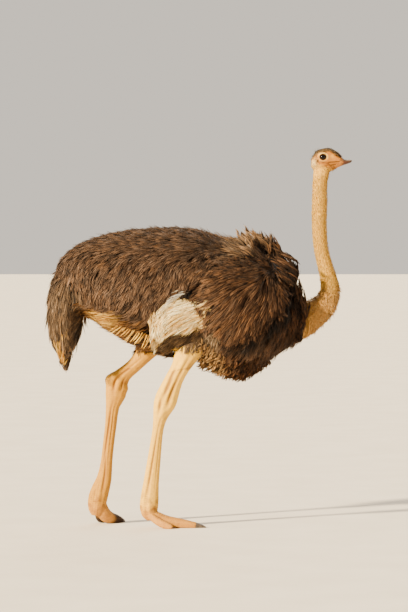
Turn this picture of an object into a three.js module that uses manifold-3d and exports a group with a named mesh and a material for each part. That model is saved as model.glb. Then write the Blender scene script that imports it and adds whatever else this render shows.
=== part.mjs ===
// Adult female ostrich standing in mid-step: a life-size still model in three.js.
// Millimetres, +Z up, facing +X, with the bird's right side towards -Y. The origin lies on the floor,
// at the bottom centre of the whole bird's box. Each named mesh is one part of the body, out to the
// tips of its plumage, and neighbours keep a thin gap where they meet.
import * as THREE from "three";
import { mergeVertices } from "three/addons/utils/BufferGeometryUtils.js";
import Module from "manifold-3d";

const wasm = await Module();
wasm.setup();

// ---- Driving dimensions -------------------------------------------------------------------------
const CROWN_HEIGHT = 1745; // floor to the top of the head
const BACK_HEIGHT = 1383; // floor to the top of the back's plumage
const BELLY_HEIGHT = 775; // floor to the underside of the plumage between the legs
const TRUNK_HALF_WIDTH = 252; // plumage at the flanks, without the wings
const GAP = 0.35; // clear space between neighbouring parts
const LENS_GAP = 1.2; // the same round a wing, whose bent lens grows unevenly
const SIDES = { left: 1, right: -1 }; // each side's direction along Y

const EYE = { x: 568, y: 24, z: CROWN_HEIGHT - 40, radius: 19.5 };
const EAR = { x: 541, y: 32, z: CROWN_HEIGHT - 58, size: [8, 5, 10] };
const MOUTH = { corner: 589, tip: 702, cornerZ: 1681, tipZ: 1687, groove: 1.4 };
const BILL_BASE = { x: 636, lean: 24 }; // where horn starts at the mouth, and its lean in degrees

// ---- Cross-sections and sweeps ------------------------------------------------------------------
const signedPower = (value, power) => Math.sign(value) * Math.abs(value) ** power;

// Catmull-Rom through rows of numbers, so that places and sizes run smoothly from row to row.
function smoothRows(rows, steps) {
  const made = [];
  const row = (i) => rows[Math.min(Math.max(i, 0), rows.length - 1)];
  for (let i = 0; i < rows.length - 1; i++) {
    for (let k = 0; k < steps; k++) {
      const t = k / steps;
      made.push(
        row(i).map((b, j) => {
          const [a, c, d] = [row(i - 1)[j], row(i + 1)[j], row(i + 2)[j]];
          const square = 2 * a - 5 * b + 4 * c - d;
          const cube = 3 * b - a - 3 * c + d;
          return 0.5 * (2 * b + (c - a) * t + square * t ** 2 + cube * t ** 3);
        }),
      );
    }
  }
  made.push(rows.at(-1));
  return made;
}

// One closed section round a centre: half is its size to either side, and up and down its two heights.
function ring(centre, side, rise, { half, up, down }, sides, exponent) {
  const points = [];
  for (let i = 0; i < sides; i++) {
    const angle = (2 * Math.PI * i) / sides;
    const across = signedPower(Math.cos(angle), 2 / exponent) * half;
    const along = signedPower(Math.sin(angle), 2 / exponent) * (Math.sin(angle) > 0 ? up : down);
    points.push(centre.clone().addScaledVector(side, across).addScaledVector(rise, along));
  }
  return points;
}

// Rings along a limb. Rows are [x, y, z, half width, size one way, size the other way]. The first size
// is to the front of a leg that hangs down, to the top of a toe that points forward, and to the back
// of a neck that rises.
function limbRings(rows, { sides = 10, steps = 2, exponent = 2, grow = 0 } = {}) {
  const made = smoothRows(rows, steps);
  const centres = made.map(([x, y, z]) => new THREE.Vector3(x, y, z));
  return made.map(([, , , half, up, down], i) => {
    const before = centres[Math.max(i - 1, 0)];
    const after = centres[Math.min(i + 1, centres.length - 1)];
    const along = after.clone().sub(before).normalize();
    const side = new THREE.Vector3(0, 1, 0).addScaledVector(along, -along.y).normalize();
    const rise = new THREE.Vector3().crossVectors(along, side);
    const end = i === 0 ? -grow : i === centres.length - 1 ? grow : 0;
    const size = { half: half + grow, up: up + grow, down: down + grow };
    return ring(centres[i].clone().addScaledVector(along, end), side, rise, size, sides, exponent);
  });
}

// Rings in upright planes across X. Rows are [x, top, bottom, half width].
function uprightRings(rows, { sides = 18, steps = 2, exponent = 2.15, grow = 0 } = {}) {
  const made = smoothRows(rows, steps);
  const side = new THREE.Vector3(0, -1, 0);
  const rise = new THREE.Vector3(0, 0, 1);
  return made.map(([x, top, bottom, half], i) => {
    const end = i === 0 ? -grow : i === made.length - 1 ? grow : 0;
    const height = (top - bottom) / 2 + grow;
    const centre = new THREE.Vector3(x + end, 0, (top + bottom) / 2);
    return ring(centre, side, rise, { half: half + grow, up: height, down: height }, sides, exponent);
  });
}

// ---- Solids -------------------------------------------------------------------------------------
// A solid from an indexed or plain geometry whose faces close on themselves.
function solidOf(geometry) {
  const bare = geometry.clone();
  bare.deleteAttribute("normal");
  bare.deleteAttribute("uv");
  const merged = mergeVertices(bare, 1e-3);
  const mesh = new wasm.Mesh({
    numProp: 3,
    vertProperties: new Float32Array(merged.attributes.position.array),
    triVerts: new Uint32Array(merged.index.array),
  });
  const made = new wasm.Manifold(mesh);
  if (made.volume() >= 0) return made;
  mesh.triVerts = mesh.triVerts.map((_, i, all) => all[i - (i % 3) + [0, 2, 1][i % 3]]);
  return new wasm.Manifold(mesh);
}

// The solid inside a run of rings, each end closed by a fan round its middle.
function skinThrough(rings) {
  const sides = rings[0].length;
  const points = rings.flat();
  const index = [];
  for (let r = 0; r < rings.length - 1; r++) {
    for (let i = 0; i < sides; i++) {
      const [a, b] = [r * sides + i, r * sides + ((i + 1) % sides)];
      index.push(a, b, b + sides, a, b + sides, a + sides);
    }
  }
  for (const [end, flip] of [[0, true], [rings.length - 1, false]]) {
    const middle = rings[end].reduce((sum, p) => sum.add(p), new THREE.Vector3()).divideScalar(sides);
    const hub = points.push(middle) - 1;
    for (let i = 0; i < sides; i++) {
      const [a, b] = [end * sides + i, end * sides + ((i + 1) % sides)];
      index.push(...(flip ? [hub, b, a] : [hub, a, b]));
    }
  }
  return solidOf(new THREE.BufferGeometry().setFromPoints(points).setIndex(index));
}

// The same for a toe: everything that would reach below the floor lies flat on it.
function toeThrough(rings) {
  return skinThrough(rings.map((points) => points.map((p) => p.clone().setZ(Math.max(p.z, 0)))));
}

// Cuts one run of rings at the given ring numbers, with the gap between the lengths.
function lengthsOf(rings, cuts, close = skinThrough) {
  const ends = [0, ...cuts, rings.length - 1];
  return ends.slice(1).map((end, k) => {
    const run = rings.slice(ends[k], end + 1);
    if (k === 0) return close(run);
    const toNext = run[1][0].clone().sub(run[0][0]).normalize().multiplyScalar(GAP);
    return close([run[0].map((p) => p.clone().add(toNext)), ...run.slice(1)]);
  });
}

// An ellipsoid, for eyes and ears.
function ellipsoid([x, y, z], [rx, ry, rz], detail = 12) {
  const ball = new THREE.SphereGeometry(1, detail, Math.round(detail * 0.6));
  return solidOf(ball.scale(rx, ry, rz).translate(x, y, z));
}

// A box that stands for one side of a cut: its near face passes through a point.
function halfSpace([x, y, z], [leanY], reach) {
  const box = new THREE.BoxGeometry(reach, reach, reach).translate(reach / 2, 0, 0);
  return solidOf(box.rotateY(THREE.MathUtils.degToRad(leanY)).translate(x, y, z));
}

const unite = (solids) => solids.reduce((all, next) => all.add(next));
const carve = (solid, cutters) => cutters.reduce((rest, cutter) => rest.subtract(cutter), solid);

// ---- Trunk, with the ruff that stands up round the foot of the neck ------------------------------
const TRUNK_ROWS = [
  [-652, 1212, 1128, 40],
  [-612, 1262, 1052, 0.42 * TRUNK_HALF_WIDTH],
  [-540, 1312, 996, 0.7 * TRUNK_HALF_WIDTH],
  [-440, 1347, 925, 0.87 * TRUNK_HALF_WIDTH],
  [-310, 1373, 846, 0.97 * TRUNK_HALF_WIDTH],
  [-160, BACK_HEIGHT, BELLY_HEIGHT + 15, TRUNK_HALF_WIDTH],
  [-10, 1377, BELLY_HEIGHT, 0.98 * TRUNK_HALF_WIDTH],
  [110, 1336, 728, 0.93 * TRUNK_HALF_WIDTH],
  [200, 1326, 704, 0.86 * TRUNK_HALF_WIDTH],
  [290, 1314, 748, 0.77 * TRUNK_HALF_WIDTH],
  [365, 1245, 804, 0.65 * TRUNK_HALF_WIDTH],
  [425, 1150, 838, 0.5 * TRUNK_HALF_WIDTH],
  [475, 1060, 868, 0.36 * TRUNK_HALF_WIDTH],
  [502, 1000, 905, 0.2 * TRUNK_HALF_WIDTH],
];

// A single flat plume standing out of the coat: it starts wide inside the body and bends to a point.
function plume(root, tip, width, bend, grow = 0) {
  const [from, to] = [new THREE.Vector3(...root), new THREE.Vector3(...tip)];
  const rows = [0, 0.4, 0.75, 1].map((t) => {
    const at = from.clone().lerp(to, t);
    const bow = Math.sin(Math.PI * t) * bend;
    const half = width * (1 - t) ** 0.8 + 1.5;
    return [at.x + bow, at.y, at.z, half, half * 0.45, half * 0.45];
  });
  return skinThrough(limbRings(rows, { sides: 4, steps: 1, grow }));
}

// Ruff plumes in an arch over the neck's foot: [x of tip, z of tip, sideways share of the trunk].
// Each has a shorter twin on the other side.
const RUFF_TIPS = [
  [178, 1370, 0.16], [219, 1389, -0.32], [256, 1372, 0.42], [288, 1366, -0.12], [327, 1355, -0.46],
  [338, 1338, 0.5], [366, 1296, 0.16], [398, 1248, -0.44], [424, 1240, 0.36], [440, 1250, -0.14],
  [463, 1143, 0.26], [483, 1090, -0.2],
];
const TWIN_DROP = 20;
function ruffSolid(grow) {
  const plumeTo = (x, z, spread) => plume([x - 20, spread * 0.8, z - 150], [x, spread, z], 46, 20, grow);
  const pairs = RUFF_TIPS.map(([x, z, share]) => {
    const spread = share * TRUNK_HALF_WIDTH;
    return plumeTo(x, z, spread).add(plumeTo(x - TWIN_DROP, z - TWIN_DROP, -1.1 * spread));
  });
  return unite(pairs);
}

// ---- Tail: a drooping fan of plumes with ragged ends ---------------------------------------------
const TAIL_ROWS = [
  [-570, 0, 1215, 80, 60, 50],
  [-600, 0, 1120, 118, 84, 84],
  [-606, 0, 1010, 132, 92, 92],
  [-611, 0, 930, 126, 84, 86],
  [-616, 0, 862, 102, 66, 66],
  [-622, 0, 812, 62, 38, 40],
];
const TAIL_ENDS = [
  [-612, 0, 731], [-632, -40, 752], [-600, 44, 758], [-646, 30, 790],
  [-588, -78, 800], [-650, -70, 826], [-604, 92, 812],
];
const tailWhole = unite([
  skinThrough(limbRings(TAIL_ROWS)),
  ...TAIL_ENDS.map(([x, y, z]) => plume([x * 0.3 - 430, y * 0.7, z + 140], [x, y, z], 50, 0)),
]);

// ---- Wings: a round drooping mass of coverts over a fan of pale primaries ------------------------
// Each is a lens bent round the flank. Its sizes are half its length, half its height, and how far its
// middle and its rim stand off the trunk; it is longer towards the direction called the droop.
// The fan is tilted, in degrees, so that its far end hangs lower.
const WING = { x: 220, z: 1043, length: 214, height: 248, bulge: 66, rim: 10, droop: 0.13, droopAt: 238 };
const FAN = {
  x: -15, z: 993, length: 212, height: 60, bulge: 18, rim: 7, droop: 0.2, droopAt: 180, tilt: 29,
};

// How far the trunk reaches sideways at a point of its side view. Below, it stops closing in, so that
// what is laid on it hangs free there.
const TRUNK_PROFILE = smoothRows(TRUNK_ROWS, 6);
function trunkReach(x, z) {
  const after = Math.max(TRUNK_PROFILE.findIndex((row) => row[0] > x), 1);
  const [from, to] = [TRUNK_PROFILE[after - 1], TRUNK_PROFILE[after]];
  const t = (x - from[0]) / (to[0] - from[0]);
  const [top, bottom, half] = [1, 2, 3].map((j) => from[j] + (to[j] - from[j]) * t);
  const height = Math.min(Math.max((2 * z - top - bottom) / (top - bottom), -0.72), 0.95);
  return half * (1 - Math.abs(height) ** 2.15) ** (1 / 2.15);
}

function flankLens(shape, side, grow) {
  const lens = new THREE.SphereGeometry(1, 16, 9);
  const place = lens.attributes.position;
  const tilt = THREE.MathUtils.degToRad(shape.tilt ?? 0);
  for (let i = 0; i < place.count; i++) {
    const [u, out, v] = [place.getX(i), place.getY(i), place.getZ(i)];
    const towards = Math.cos(Math.atan2(v, u) - THREE.MathUtils.degToRad(shape.droopAt));
    const reach = 1 + shape.droop * Math.hypot(u, v) ** 2 * Math.max(towards, 0) ** 3;
    const along = u * reach * (shape.length + grow);
    const up = v * reach * (shape.height + grow);
    const x = shape.x + along * Math.cos(tilt) - up * Math.sin(tilt);
    const z = shape.z + along * Math.sin(tilt) + up * Math.cos(tilt);
    const y = trunkReach(x, z) + shape.rim + out * (shape.bulge + grow);
    place.setXYZ(i, x, side * y, z);
  }
  return solidOf(lens);
}

// ---- Neck: from low on the chest, round the bend and straight up ---------------------------------
const NECK_ROWS = [
  [380, 0, 935, 66, 84, 62],
  [450, 0, 942, 70, 84, 78],
  [517, 0, 980, 64, 72, 70],
  [572, 0, 1020, 56, 58, 58],
  [598, 0, 1066, 49, 49, 50],
  [602, 0, 1118, 41, 41, 42],
  [585, 0, 1190, 36, 36, 36],
  [563, 0, 1279, 33, 33, 33],
  [554, 0, 1371, 34, 34, 34],
  [555, 0, 1509, 35, 35, 35],
  [557, 0, 1600, 33, 33, 34],
  [564, 0, 1650, 33, 36, 38],
];
const NECK_CUTS = [10, 16]; // ring numbers, two to a row

// ---- Head ----------------------------------------------------------------------------------------
const HEAD_ROWS = [
  [518, 1688, 1662, 12],
  [526, 1709, 1648, 25],
  [543, 1731, 1640, 35],
  [566, CROWN_HEIGHT - 2, 1637, 40],
  [591, CROWN_HEIGHT, 1638, 39],
  [616, 1739, 1646, 34],
  [640, 1724, 1658, 28],
  [656, 1705, 1665, 25],
  [669, 1695, 1670, 23.5],
  [685, 1693, 1675, 20],
  [697, 1691.5, 1680, 13],
  [702, 1690, 1684, 5],
];

// Parts the head from the two halves of the bill, and cuts the corner of the mouth into the cheeks.
function headParts() {
  const whole = skinThrough(uprightRings(HEAD_ROWS, { sides: 16, exponent: 2.1 }));
  const mouthSlope = Math.atan2(MOUTH.tipZ - MOUTH.cornerZ, MOUTH.tip - MOUTH.corner);
  const slopeDegrees = THREE.MathUtils.radToDeg(mouthSlope);
  const reach = 400;
  const mouthAt = [BILL_BASE.x, 0, MOUTH.cornerZ + (BILL_BASE.x - MOUTH.corner) * Math.tan(mouthSlope)];
  const ahead = (inset) => halfSpace([mouthAt[0] + inset, 0, mouthAt[2]], [BILL_BASE.lean], reach);
  const above = (inset) => halfSpace([mouthAt[0], 0, mouthAt[2] + inset], [-90 - slopeDegrees], reach);
  const below = (inset) => halfSpace([mouthAt[0], 0, mouthAt[2] - inset], [90 - slopeDegrees], reach);
  const grooves = Object.values(SIDES).map((side) => {
    const length = BILL_BASE.x - MOUTH.corner;
    const slot = new THREE.BoxGeometry(length, 30, MOUTH.groove).rotateY(-mouthSlope);
    return solidOf(slot.translate(MOUTH.corner + length / 2, side * 40, (MOUTH.cornerZ + mouthAt[2]) / 2));
  });
  return {
    head: carve(whole, [ahead(0), ...grooves]),
    billUpper: whole.intersect(ahead(GAP)).intersect(above(GAP / 2)),
    billLower: whole.intersect(ahead(GAP)).intersect(below(GAP / 2)),
    outer: skinThrough(uprightRings(HEAD_ROWS, { sides: 16, exponent: 2.1, grow: GAP })),
  };
}

// ---- Legs: bare from the plumage down ------------------------------------------------------------
// Rows run from inside the plumage down to the foot: [x, y, z, half width, ahead, behind].
const LEG_ROWS = {
  right: [
    [0, -122, 900, 70, 82, 82],
    [-52, -110, 812, 56, 62, 60],
    [-82, -99, 747, 43, 44, 44],
    [-113, -88, 688, 39, 43, 43],
    [-139, -78, 630, 43, 52, 48],
    [-160, -69, 572, 44, 52, 50],
    [-177, -60, 517, 32, 36, 34],
    [-187, -52, 460, 23, 26, 26],
    [-198, -41, 380, 22, 28, 28],
    [-210, -28, 285, 23, 33, 33],
    [-220, -18, 205, 25, 37, 37],
    [-227, -11, 130, 34, 43, 44],
    [-228, -9, 84, 38, 40, 44],
    [-226, -9, 56, 31, 33, 34],
    [-221, -9, 37, 17, 18, 16],
  ],
  left: [
    [-208, 122, 860, 60, 66, 66],
    [-262, 120, 785, 42, 42, 42],
    [-308, 122, 735, 36, 35, 35],
    [-349, 124, 700, 37, 38, 38],
    [-380, 127, 655, 42, 52, 48],
    [-388, 130, 603, 42, 50, 48],
    [-401, 132, 550, 30, 33, 33],
    [-409, 134, 470, 23, 28, 28],
    [-420, 137, 380, 22, 27, 27],
    [-430, 140, 290, 23, 28, 28],
    [-441, 143, 215, 27, 36, 36],
    [-462, 145, 150, 36, 44, 46],
    [-471, 147, 106, 38, 42, 47],
    [-475, 148, 70, 34, 36, 42],
    [-478, 149, 42, 18, 20, 24],
  ],
};
const ANKLE_CUT = 11; // ring number of the joint between shank and tarsus, two to a row

// Toe rows, from the joint under the tarsus to the tip. The last rings of the main toe are its nail.
const TOE_ROWS = {
  main_right: [
    [-232, -10, 68, 30, 26, 24],
    [-188, -11, 45, 30, 27, 28],
    [-140, -12, 31, 28, 23, 34],
    [-85, -13, 24, 26, 19, 30],
    [-38, -14, 17, 23, 14, 24],
    [-14, -14, 13, 18, 12, 20],
    [10, -15, 8, 12, 9, 12],
    [33, -16, 3, 3, 2, 5],
  ],
  main_left: [
    [-464, 148, 94, 30, 34, 32],
    [-444, 164, 54, 30, 30, 34],
    [-416, 190, 31, 28, 24, 36],
    [-390, 217, 23, 25, 18, 30],
    [-374, 236, 16, 21, 14, 24],
    [-366, 246, 12, 17, 11, 20],
    [-357, 258, 8, 11, 8, 12],
    [-348, 270, 3, 3, 2, 5],
  ],
  outer_right: [
    [-228, -24, 60, 18, 16, 15],
    [-198, -43, 41, 18, 15, 20],
    [-170, -57, 27, 17, 14, 22],
    [-142, -68, 17, 14, 11, 20],
    [-122, -75, 9, 8, 7, 12],
  ],
  outer_left: [
    [-466, 164, 80, 18, 18, 18],
    [-460, 194, 42, 19, 18, 27],
    [-452, 224, 23, 17, 14, 28],
    [-443, 250, 15, 14, 11, 20],
    [-436, 266, 9, 7, 6, 12],
  ],
};
const NAIL_CUT = 10; // ring number where the main toe's nail starts, two to a row

function legParts(sideName) {
  const legRings = limbRings(LEG_ROWS[sideName]);
  const [shank, tarsus] = lengthsOf(legRings, [ANKLE_CUT]);
  const grownTarsus = skinThrough(limbRings(LEG_ROWS[sideName], { grow: GAP }).slice(ANKLE_CUT));
  const toeOptions = { exponent: 2.3 };
  const mainRings = limbRings(TOE_ROWS[`main_${sideName}`], toeOptions);
  const [toe, nail] = lengthsOf(mainRings, [NAIL_CUT], toeThrough);
  const mainGrown = skinThrough(limbRings(TOE_ROWS[`main_${sideName}`], { ...toeOptions, grow: GAP }));
  const outer = toeThrough(limbRings(TOE_ROWS[`outer_${sideName}`], toeOptions));
  return {
    shank,
    tarsus,
    toe_main: carve(toe, [grownTarsus]),
    nail,
    toe_outer: carve(outer, [grownTarsus, mainGrown]),
  };
}

// ---- The bird ------------------------------------------------------------------------------------
const MATERIALS = {
  plumage: { color: 0x4b3a2e, roughness: 0.95 },
  pale_plumes: { color: 0xe6dcc4, roughness: 0.9 },
  neck_down: { color: 0xd6bb8a, roughness: 0.9 },
  bare_skin: { color: 0xdcc19a, roughness: 0.75 },
  bill_horn: { color: 0x9a7358, roughness: 0.5 },
  nail_horn: { color: 0x4a4440, roughness: 0.5 },
  eye: { color: 0x150d08, roughness: 0.05 },
};
for (const [slot, look] of Object.entries(MATERIALS)) {
  MATERIALS[slot] = new THREE.MeshStandardMaterial({ name: slot, metalness: 0, ...look });
}

function meshOf(name, solid, slot) {
  const { numProp, numVert, vertProperties, triVerts } = solid.getMesh();
  const places = new Float32Array(numVert * 3);
  for (let i = 0; i < numVert; i++) places.set(vertProperties.subarray(i * numProp, i * numProp + 3), i * 3);
  const geometry = new THREE.BufferGeometry();
  geometry.setAttribute("position", new THREE.BufferAttribute(places, 3));
  geometry.setIndex(new THREE.BufferAttribute(triVerts, 1));
  geometry.computeVertexNormals();
  const mesh = new THREE.Mesh(geometry, MATERIALS[slot]);
  mesh.name = name;
  return mesh;
}

function ostrich() {
  const bird = new THREE.Group();
  const add = (name, solid, slot) => bird.add(meshOf(name, solid, slot));

  const trunkGrown = skinThrough(uprightRings(TRUNK_ROWS, { grow: GAP })).add(ruffSolid(GAP));
  add("trunk", skinThrough(uprightRings(TRUNK_ROWS)).add(ruffSolid(0)), "plumage");
  add("tail", carve(tailWhole, [trunkGrown]), "plumage");

  const skull = headParts();
  const [neckLower, neckMiddle, neckUpper] = lengthsOf(limbRings(NECK_ROWS, { sides: 12 }), NECK_CUTS);
  add("neck_lower", carve(neckLower, [trunkGrown]), "neck_down");
  add("neck_middle", neckMiddle, "neck_down");
  add("neck_upper", carve(neckUpper, [skull.outer]), "neck_down");

  const eyeAt = (side) => [EYE.x, side * EYE.y, EYE.z];
  const earAt = (side) => [EAR.x, side * EAR.y, EAR.z];
  const sockets = Object.values(SIDES).flatMap((side) => [
    ellipsoid(eyeAt(side), Array(3).fill(EYE.radius + GAP)),
    ellipsoid(earAt(side), EAR.size.map((size) => size + GAP), 8),
  ]);
  add("head", carve(skull.head, sockets), "bare_skin");
  add("bill_upper", skull.billUpper, "bill_horn");
  add("bill_lower", skull.billLower, "bill_horn");

  for (const [sideName, side] of Object.entries(SIDES)) {
    const wingGrown = flankLens(WING, side, LENS_GAP);
    const fan = carve(flankLens(FAN, side, 0), [wingGrown, trunkGrown]);
    const plumage = [trunkGrown, wingGrown, flankLens(FAN, side, LENS_GAP)];
    add(`wing_${sideName}`, carve(flankLens(WING, side, 0), [trunkGrown]), "plumage");
    add(`primaries_${sideName}`, fan, "pale_plumes");
    add(`eye_${sideName}`, ellipsoid(eyeAt(side), Array(3).fill(EYE.radius)), "eye");
    add(`ear_${sideName}`, ellipsoid(earAt(side), EAR.size, 8), "bare_skin");
    const leg = legParts(sideName);
    add(`shank_${sideName}`, carve(leg.shank, plumage), "bare_skin");
    add(`tarsus_${sideName}`, leg.tarsus, "bare_skin");
    add(`toe_main_${sideName}`, leg.toe_main, "bare_skin");
    add(`toe_outer_${sideName}`, leg.toe_outer, "bare_skin");
    add(`nail_${sideName}`, leg.nail, "nail_horn");
  }

  // Moves the whole bird so that the origin is at the bottom centre of its box.
  const box = new THREE.Box3().setFromObject(bird, true);
  const middle = box.getCenter(new THREE.Vector3());
  bird.position.set(-middle.x, -middle.y, -box.min.z);
  return bird;
}

export default ostrich();
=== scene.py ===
"""Adult female ostrich: dresses the CAD frame with one skin, eyes, bill, nails and a coat of plumes."""

import math
from dataclasses import dataclass

import bmesh
import bpy
import numpy as np
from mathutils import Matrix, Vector
from mathutils.bvhtree import BVHTree


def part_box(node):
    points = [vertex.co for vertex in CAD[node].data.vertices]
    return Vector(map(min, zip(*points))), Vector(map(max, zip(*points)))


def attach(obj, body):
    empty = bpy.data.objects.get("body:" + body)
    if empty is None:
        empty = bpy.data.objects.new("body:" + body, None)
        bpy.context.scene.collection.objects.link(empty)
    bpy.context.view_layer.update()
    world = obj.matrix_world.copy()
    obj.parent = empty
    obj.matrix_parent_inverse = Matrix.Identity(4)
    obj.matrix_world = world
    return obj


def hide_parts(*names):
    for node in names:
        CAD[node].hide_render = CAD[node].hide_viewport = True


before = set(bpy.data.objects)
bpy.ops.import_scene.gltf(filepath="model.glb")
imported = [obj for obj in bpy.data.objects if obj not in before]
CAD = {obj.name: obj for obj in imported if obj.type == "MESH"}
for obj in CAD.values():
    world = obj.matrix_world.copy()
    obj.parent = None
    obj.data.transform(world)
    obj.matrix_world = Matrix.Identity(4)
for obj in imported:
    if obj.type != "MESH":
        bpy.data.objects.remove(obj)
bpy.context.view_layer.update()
SIDES = {"left": 1.0, "right": -1.0}
MM = 0.001
WELD = 0.01 * MM  # vertices nearer to each other than this are one

# ---- Camera, floor and light ---------------------------------------------------------------------
CAMERA_DISTANCE = 14.0
CAMERA_HEIGHT = 1.4
VIEW_CENTRE = Vector((0.0197, 0.0, 1.021))  # the point of the bird's middle plane in the image's middle
VIEW_TALL = 2.815  # how much of that plane the image's long side shows
SENSOR = 36.0
FLOOR_REACH = 70.0


def link(thing):
    bpy.context.scene.collection.objects.link(thing)
    return thing


def aim(thing, target):
    """Turns a camera or light so that it looks at a point."""
    thing.rotation_euler = (Vector(target) - thing.location).to_track_quat("-Z", "Y").to_euler()


def make_camera():
    camera = link(bpy.data.objects.new("camera", bpy.data.cameras.new("camera")))
    camera.location = (VIEW_CENTRE.x, -CAMERA_DISTANCE, CAMERA_HEIGHT)
    aim(camera, VIEW_CENTRE)
    camera.data.sensor_width = SENSOR
    camera.data.lens = SENSOR * (VIEW_CENTRE - camera.location).length / VIEW_TALL
    camera.data.clip_end = 100.0
    bpy.context.scene.camera = camera


def sun(name, towards, strength, softness, colour):
    """A light from far off. Towards points from the bird to the light; softness is its width in degrees."""
    lamp = link(bpy.data.objects.new(name, bpy.data.lights.new(name, "SUN")))
    lamp.rotation_euler = Vector(towards).to_track_quat("Z", "Y").to_euler()
    lamp.data.energy = strength
    lamp.data.angle = math.radians(softness)
    lamp.data.color = colour


def make_lights():
    sun("key", (-0.79, -0.63, 0.42), 16.5, 3.5, (1.0, 0.84, 0.56))
    sun("fill", (0.75, -0.8, 0.45), 0.4, 60.0, (1.0, 0.93, 0.84))
    sun("back", (0.3, 0.9, 0.5), 1.5, 40.0, (1.0, 0.95, 0.88))
    world = bpy.data.worlds.new("studio")
    world.use_nodes = True
    sky = world.node_tree.nodes["Background"]
    sky.inputs["Color"].default_value = (0.95, 0.86, 0.74, 1.0)
    sky.inputs["Strength"].default_value = 0.95
    bpy.context.scene.world = world


# ---- Small tools ---------------------------------------------------------------------------------
def paint(red, green, blue):
    """A colour given as on a screen, 0 to 255, as the linear light that Blender works in."""
    return (np.array([red, green, blue]) / 255.0) ** 2.2


def ramp(value, start, end):
    """0 before start and 1 past end, with a smooth step between."""
    t = np.clip((value - start) / (end - start), 0.0, 1.0)
    return t * t * (3.0 - 2.0 * t)


def bump(distance, width):
    """1 at no distance, falling smoothly to 0."""
    return np.exp(-((distance / width) ** 2))


def blend_rows(base, top, share):
    """Rows of base, replaced by top as share goes from 0 to 1."""
    return base + (top - base) * np.asarray(share)[..., None]


def unit(vectors):
    return vectors / np.maximum(np.linalg.norm(vectors, axis=-1, keepdims=True), 1e-9)


def places_of(piece):
    co = np.empty(len(piece.data.vertices) * 3)
    piece.data.vertices.foreach_get("co", co)
    return co.reshape(-1, 3)


def normals_of(piece):
    normals = np.empty(len(piece.data.vertices) * 3, np.float32)
    piece.data.vertex_normals.foreach_get("vector", normals)
    return normals.reshape(-1, 3).astype(float)


def set_places(piece, co):
    piece.data.vertices.foreach_set("co", np.ascontiguousarray(co, np.float32).ravel())
    piece.data.update()


def swell(piece, depth):
    """Moves each vertex out along its normal by a depth, or by its own entry of an array of depths."""
    depths = np.broadcast_to(depth, len(piece.data.vertices))
    set_places(piece, places_of(piece) + normals_of(piece) * depths[:, None])


def smooth_shade(piece):
    piece.data.polygons.foreach_set("use_smooth", np.ones(len(piece.data.polygons), bool))
    piece.data.update()


def settle(piece):
    """Applies a piece's modifiers."""
    graph = bpy.context.evaluated_depsgraph_get()
    mesh = bpy.data.meshes.new_from_object(piece.evaluated_get(graph))
    piece.modifiers.clear()
    piece.data = mesh
    return piece


def add_modifier(piece, kind, **settings):
    modifier = piece.modifiers.new(kind.lower(), kind)
    for key, value in settings.items():
        setattr(modifier, key, value)


def set_values(piece, name, values):
    """Stores one number for each vertex, for a material to read."""
    layer = piece.data.attributes.new(name, "FLOAT", "POINT")
    layer.data.foreach_set("value", values.astype(np.float32))


def piece_from(name, bm):
    """A new piece from a bmesh, which is used up."""
    piece = link(bpy.data.objects.new(name, bpy.data.meshes.new(name)))
    bm.to_mesh(piece.data)
    bm.free()
    return piece


def copy_of(name, sources):
    """One new piece that holds copies of CAD nodes, given by name, and of other pieces."""
    bm = bmesh.new()
    for source in sources:
        bm.from_mesh(CAD[source].data if isinstance(source, str) else source.data)
    bmesh.ops.remove_doubles(bm, verts=bm.verts, dist=WELD)
    return piece_from(name, bm)


def organic(name, sources, voxel, smoothing, grow=0.3 * MM):
    """CAD nodes and pieces as one smooth closed surface: the gaps between them close, the facets go."""
    piece = copy_of(name, sources)
    swell(piece, grow)
    add_modifier(piece, "REMESH", mode="VOXEL", voxel_size=voxel)
    add_modifier(piece, "SMOOTH", factor=0.5, iterations=smoothing)
    for source in sources:
        if not isinstance(source, str):
            bpy.data.objects.remove(source)
    return settle(piece)


def soften(piece, rounds, weights):
    """Smooths a surface, each vertex by its own weight from 0 to 1."""
    group = piece.vertex_groups.new(name="soft")
    steps = np.round(np.clip(weights, 0.0, 1.0) * 8).astype(int)
    for step in range(1, 9):
        group.add(np.flatnonzero(steps == step).tolist(), step / 8.0, "REPLACE")
    add_modifier(piece, "SMOOTH", factor=0.5, iterations=rounds, vertex_group="soft")
    settle(piece)
    piece.vertex_groups.clear()
    return piece


def combine(piece, other, operation):
    """Joins a piece with another, or carves the other out of it. The other is used up."""
    add_modifier(piece, "BOOLEAN", object=other, operation=operation, solver="MANIFOLD")
    settle(piece)
    bpy.data.objects.remove(other)
    return piece


def thin_out(piece, share, below):
    """Leaves about a share of the faces, and all of those above a height."""
    group = piece.vertex_groups.new(name="thin")
    group.add(np.flatnonzero(places_of(piece)[:, 2] < below).tolist(), 1.0, "REPLACE")
    add_modifier(piece, "DECIMATE", ratio=share, vertex_group="thin")
    settle(piece)
    piece.vertex_groups.clear()
    return piece


def turned(co, degrees):
    """Points turned about the Y axis, so that a positive angle lifts +X."""
    c, s = math.cos(math.radians(degrees)), math.sin(math.radians(degrees))
    return np.stack([co[:, 0] * c - co[:, 2] * s, co[:, 1], co[:, 0] * s + co[:, 2] * c], -1)


def put_at(piece, centre, size, turn):
    """Sizes a unit form, lifts its X axis by an angle in degrees and moves it to a centre."""
    set_places(piece, turned(places_of(piece) * np.array(size), turn) + np.array(centre))
    return piece


def ball(name, centre, radii, turn=0.0, detail=40):
    """An ellipsoid, its long axis lifted by an angle in degrees."""
    bm = bmesh.new()
    bmesh.ops.create_uvsphere(bm, u_segments=detail, v_segments=detail // 2, radius=1.0)
    return put_at(piece_from(name, bm), centre, radii, turn)


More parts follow.
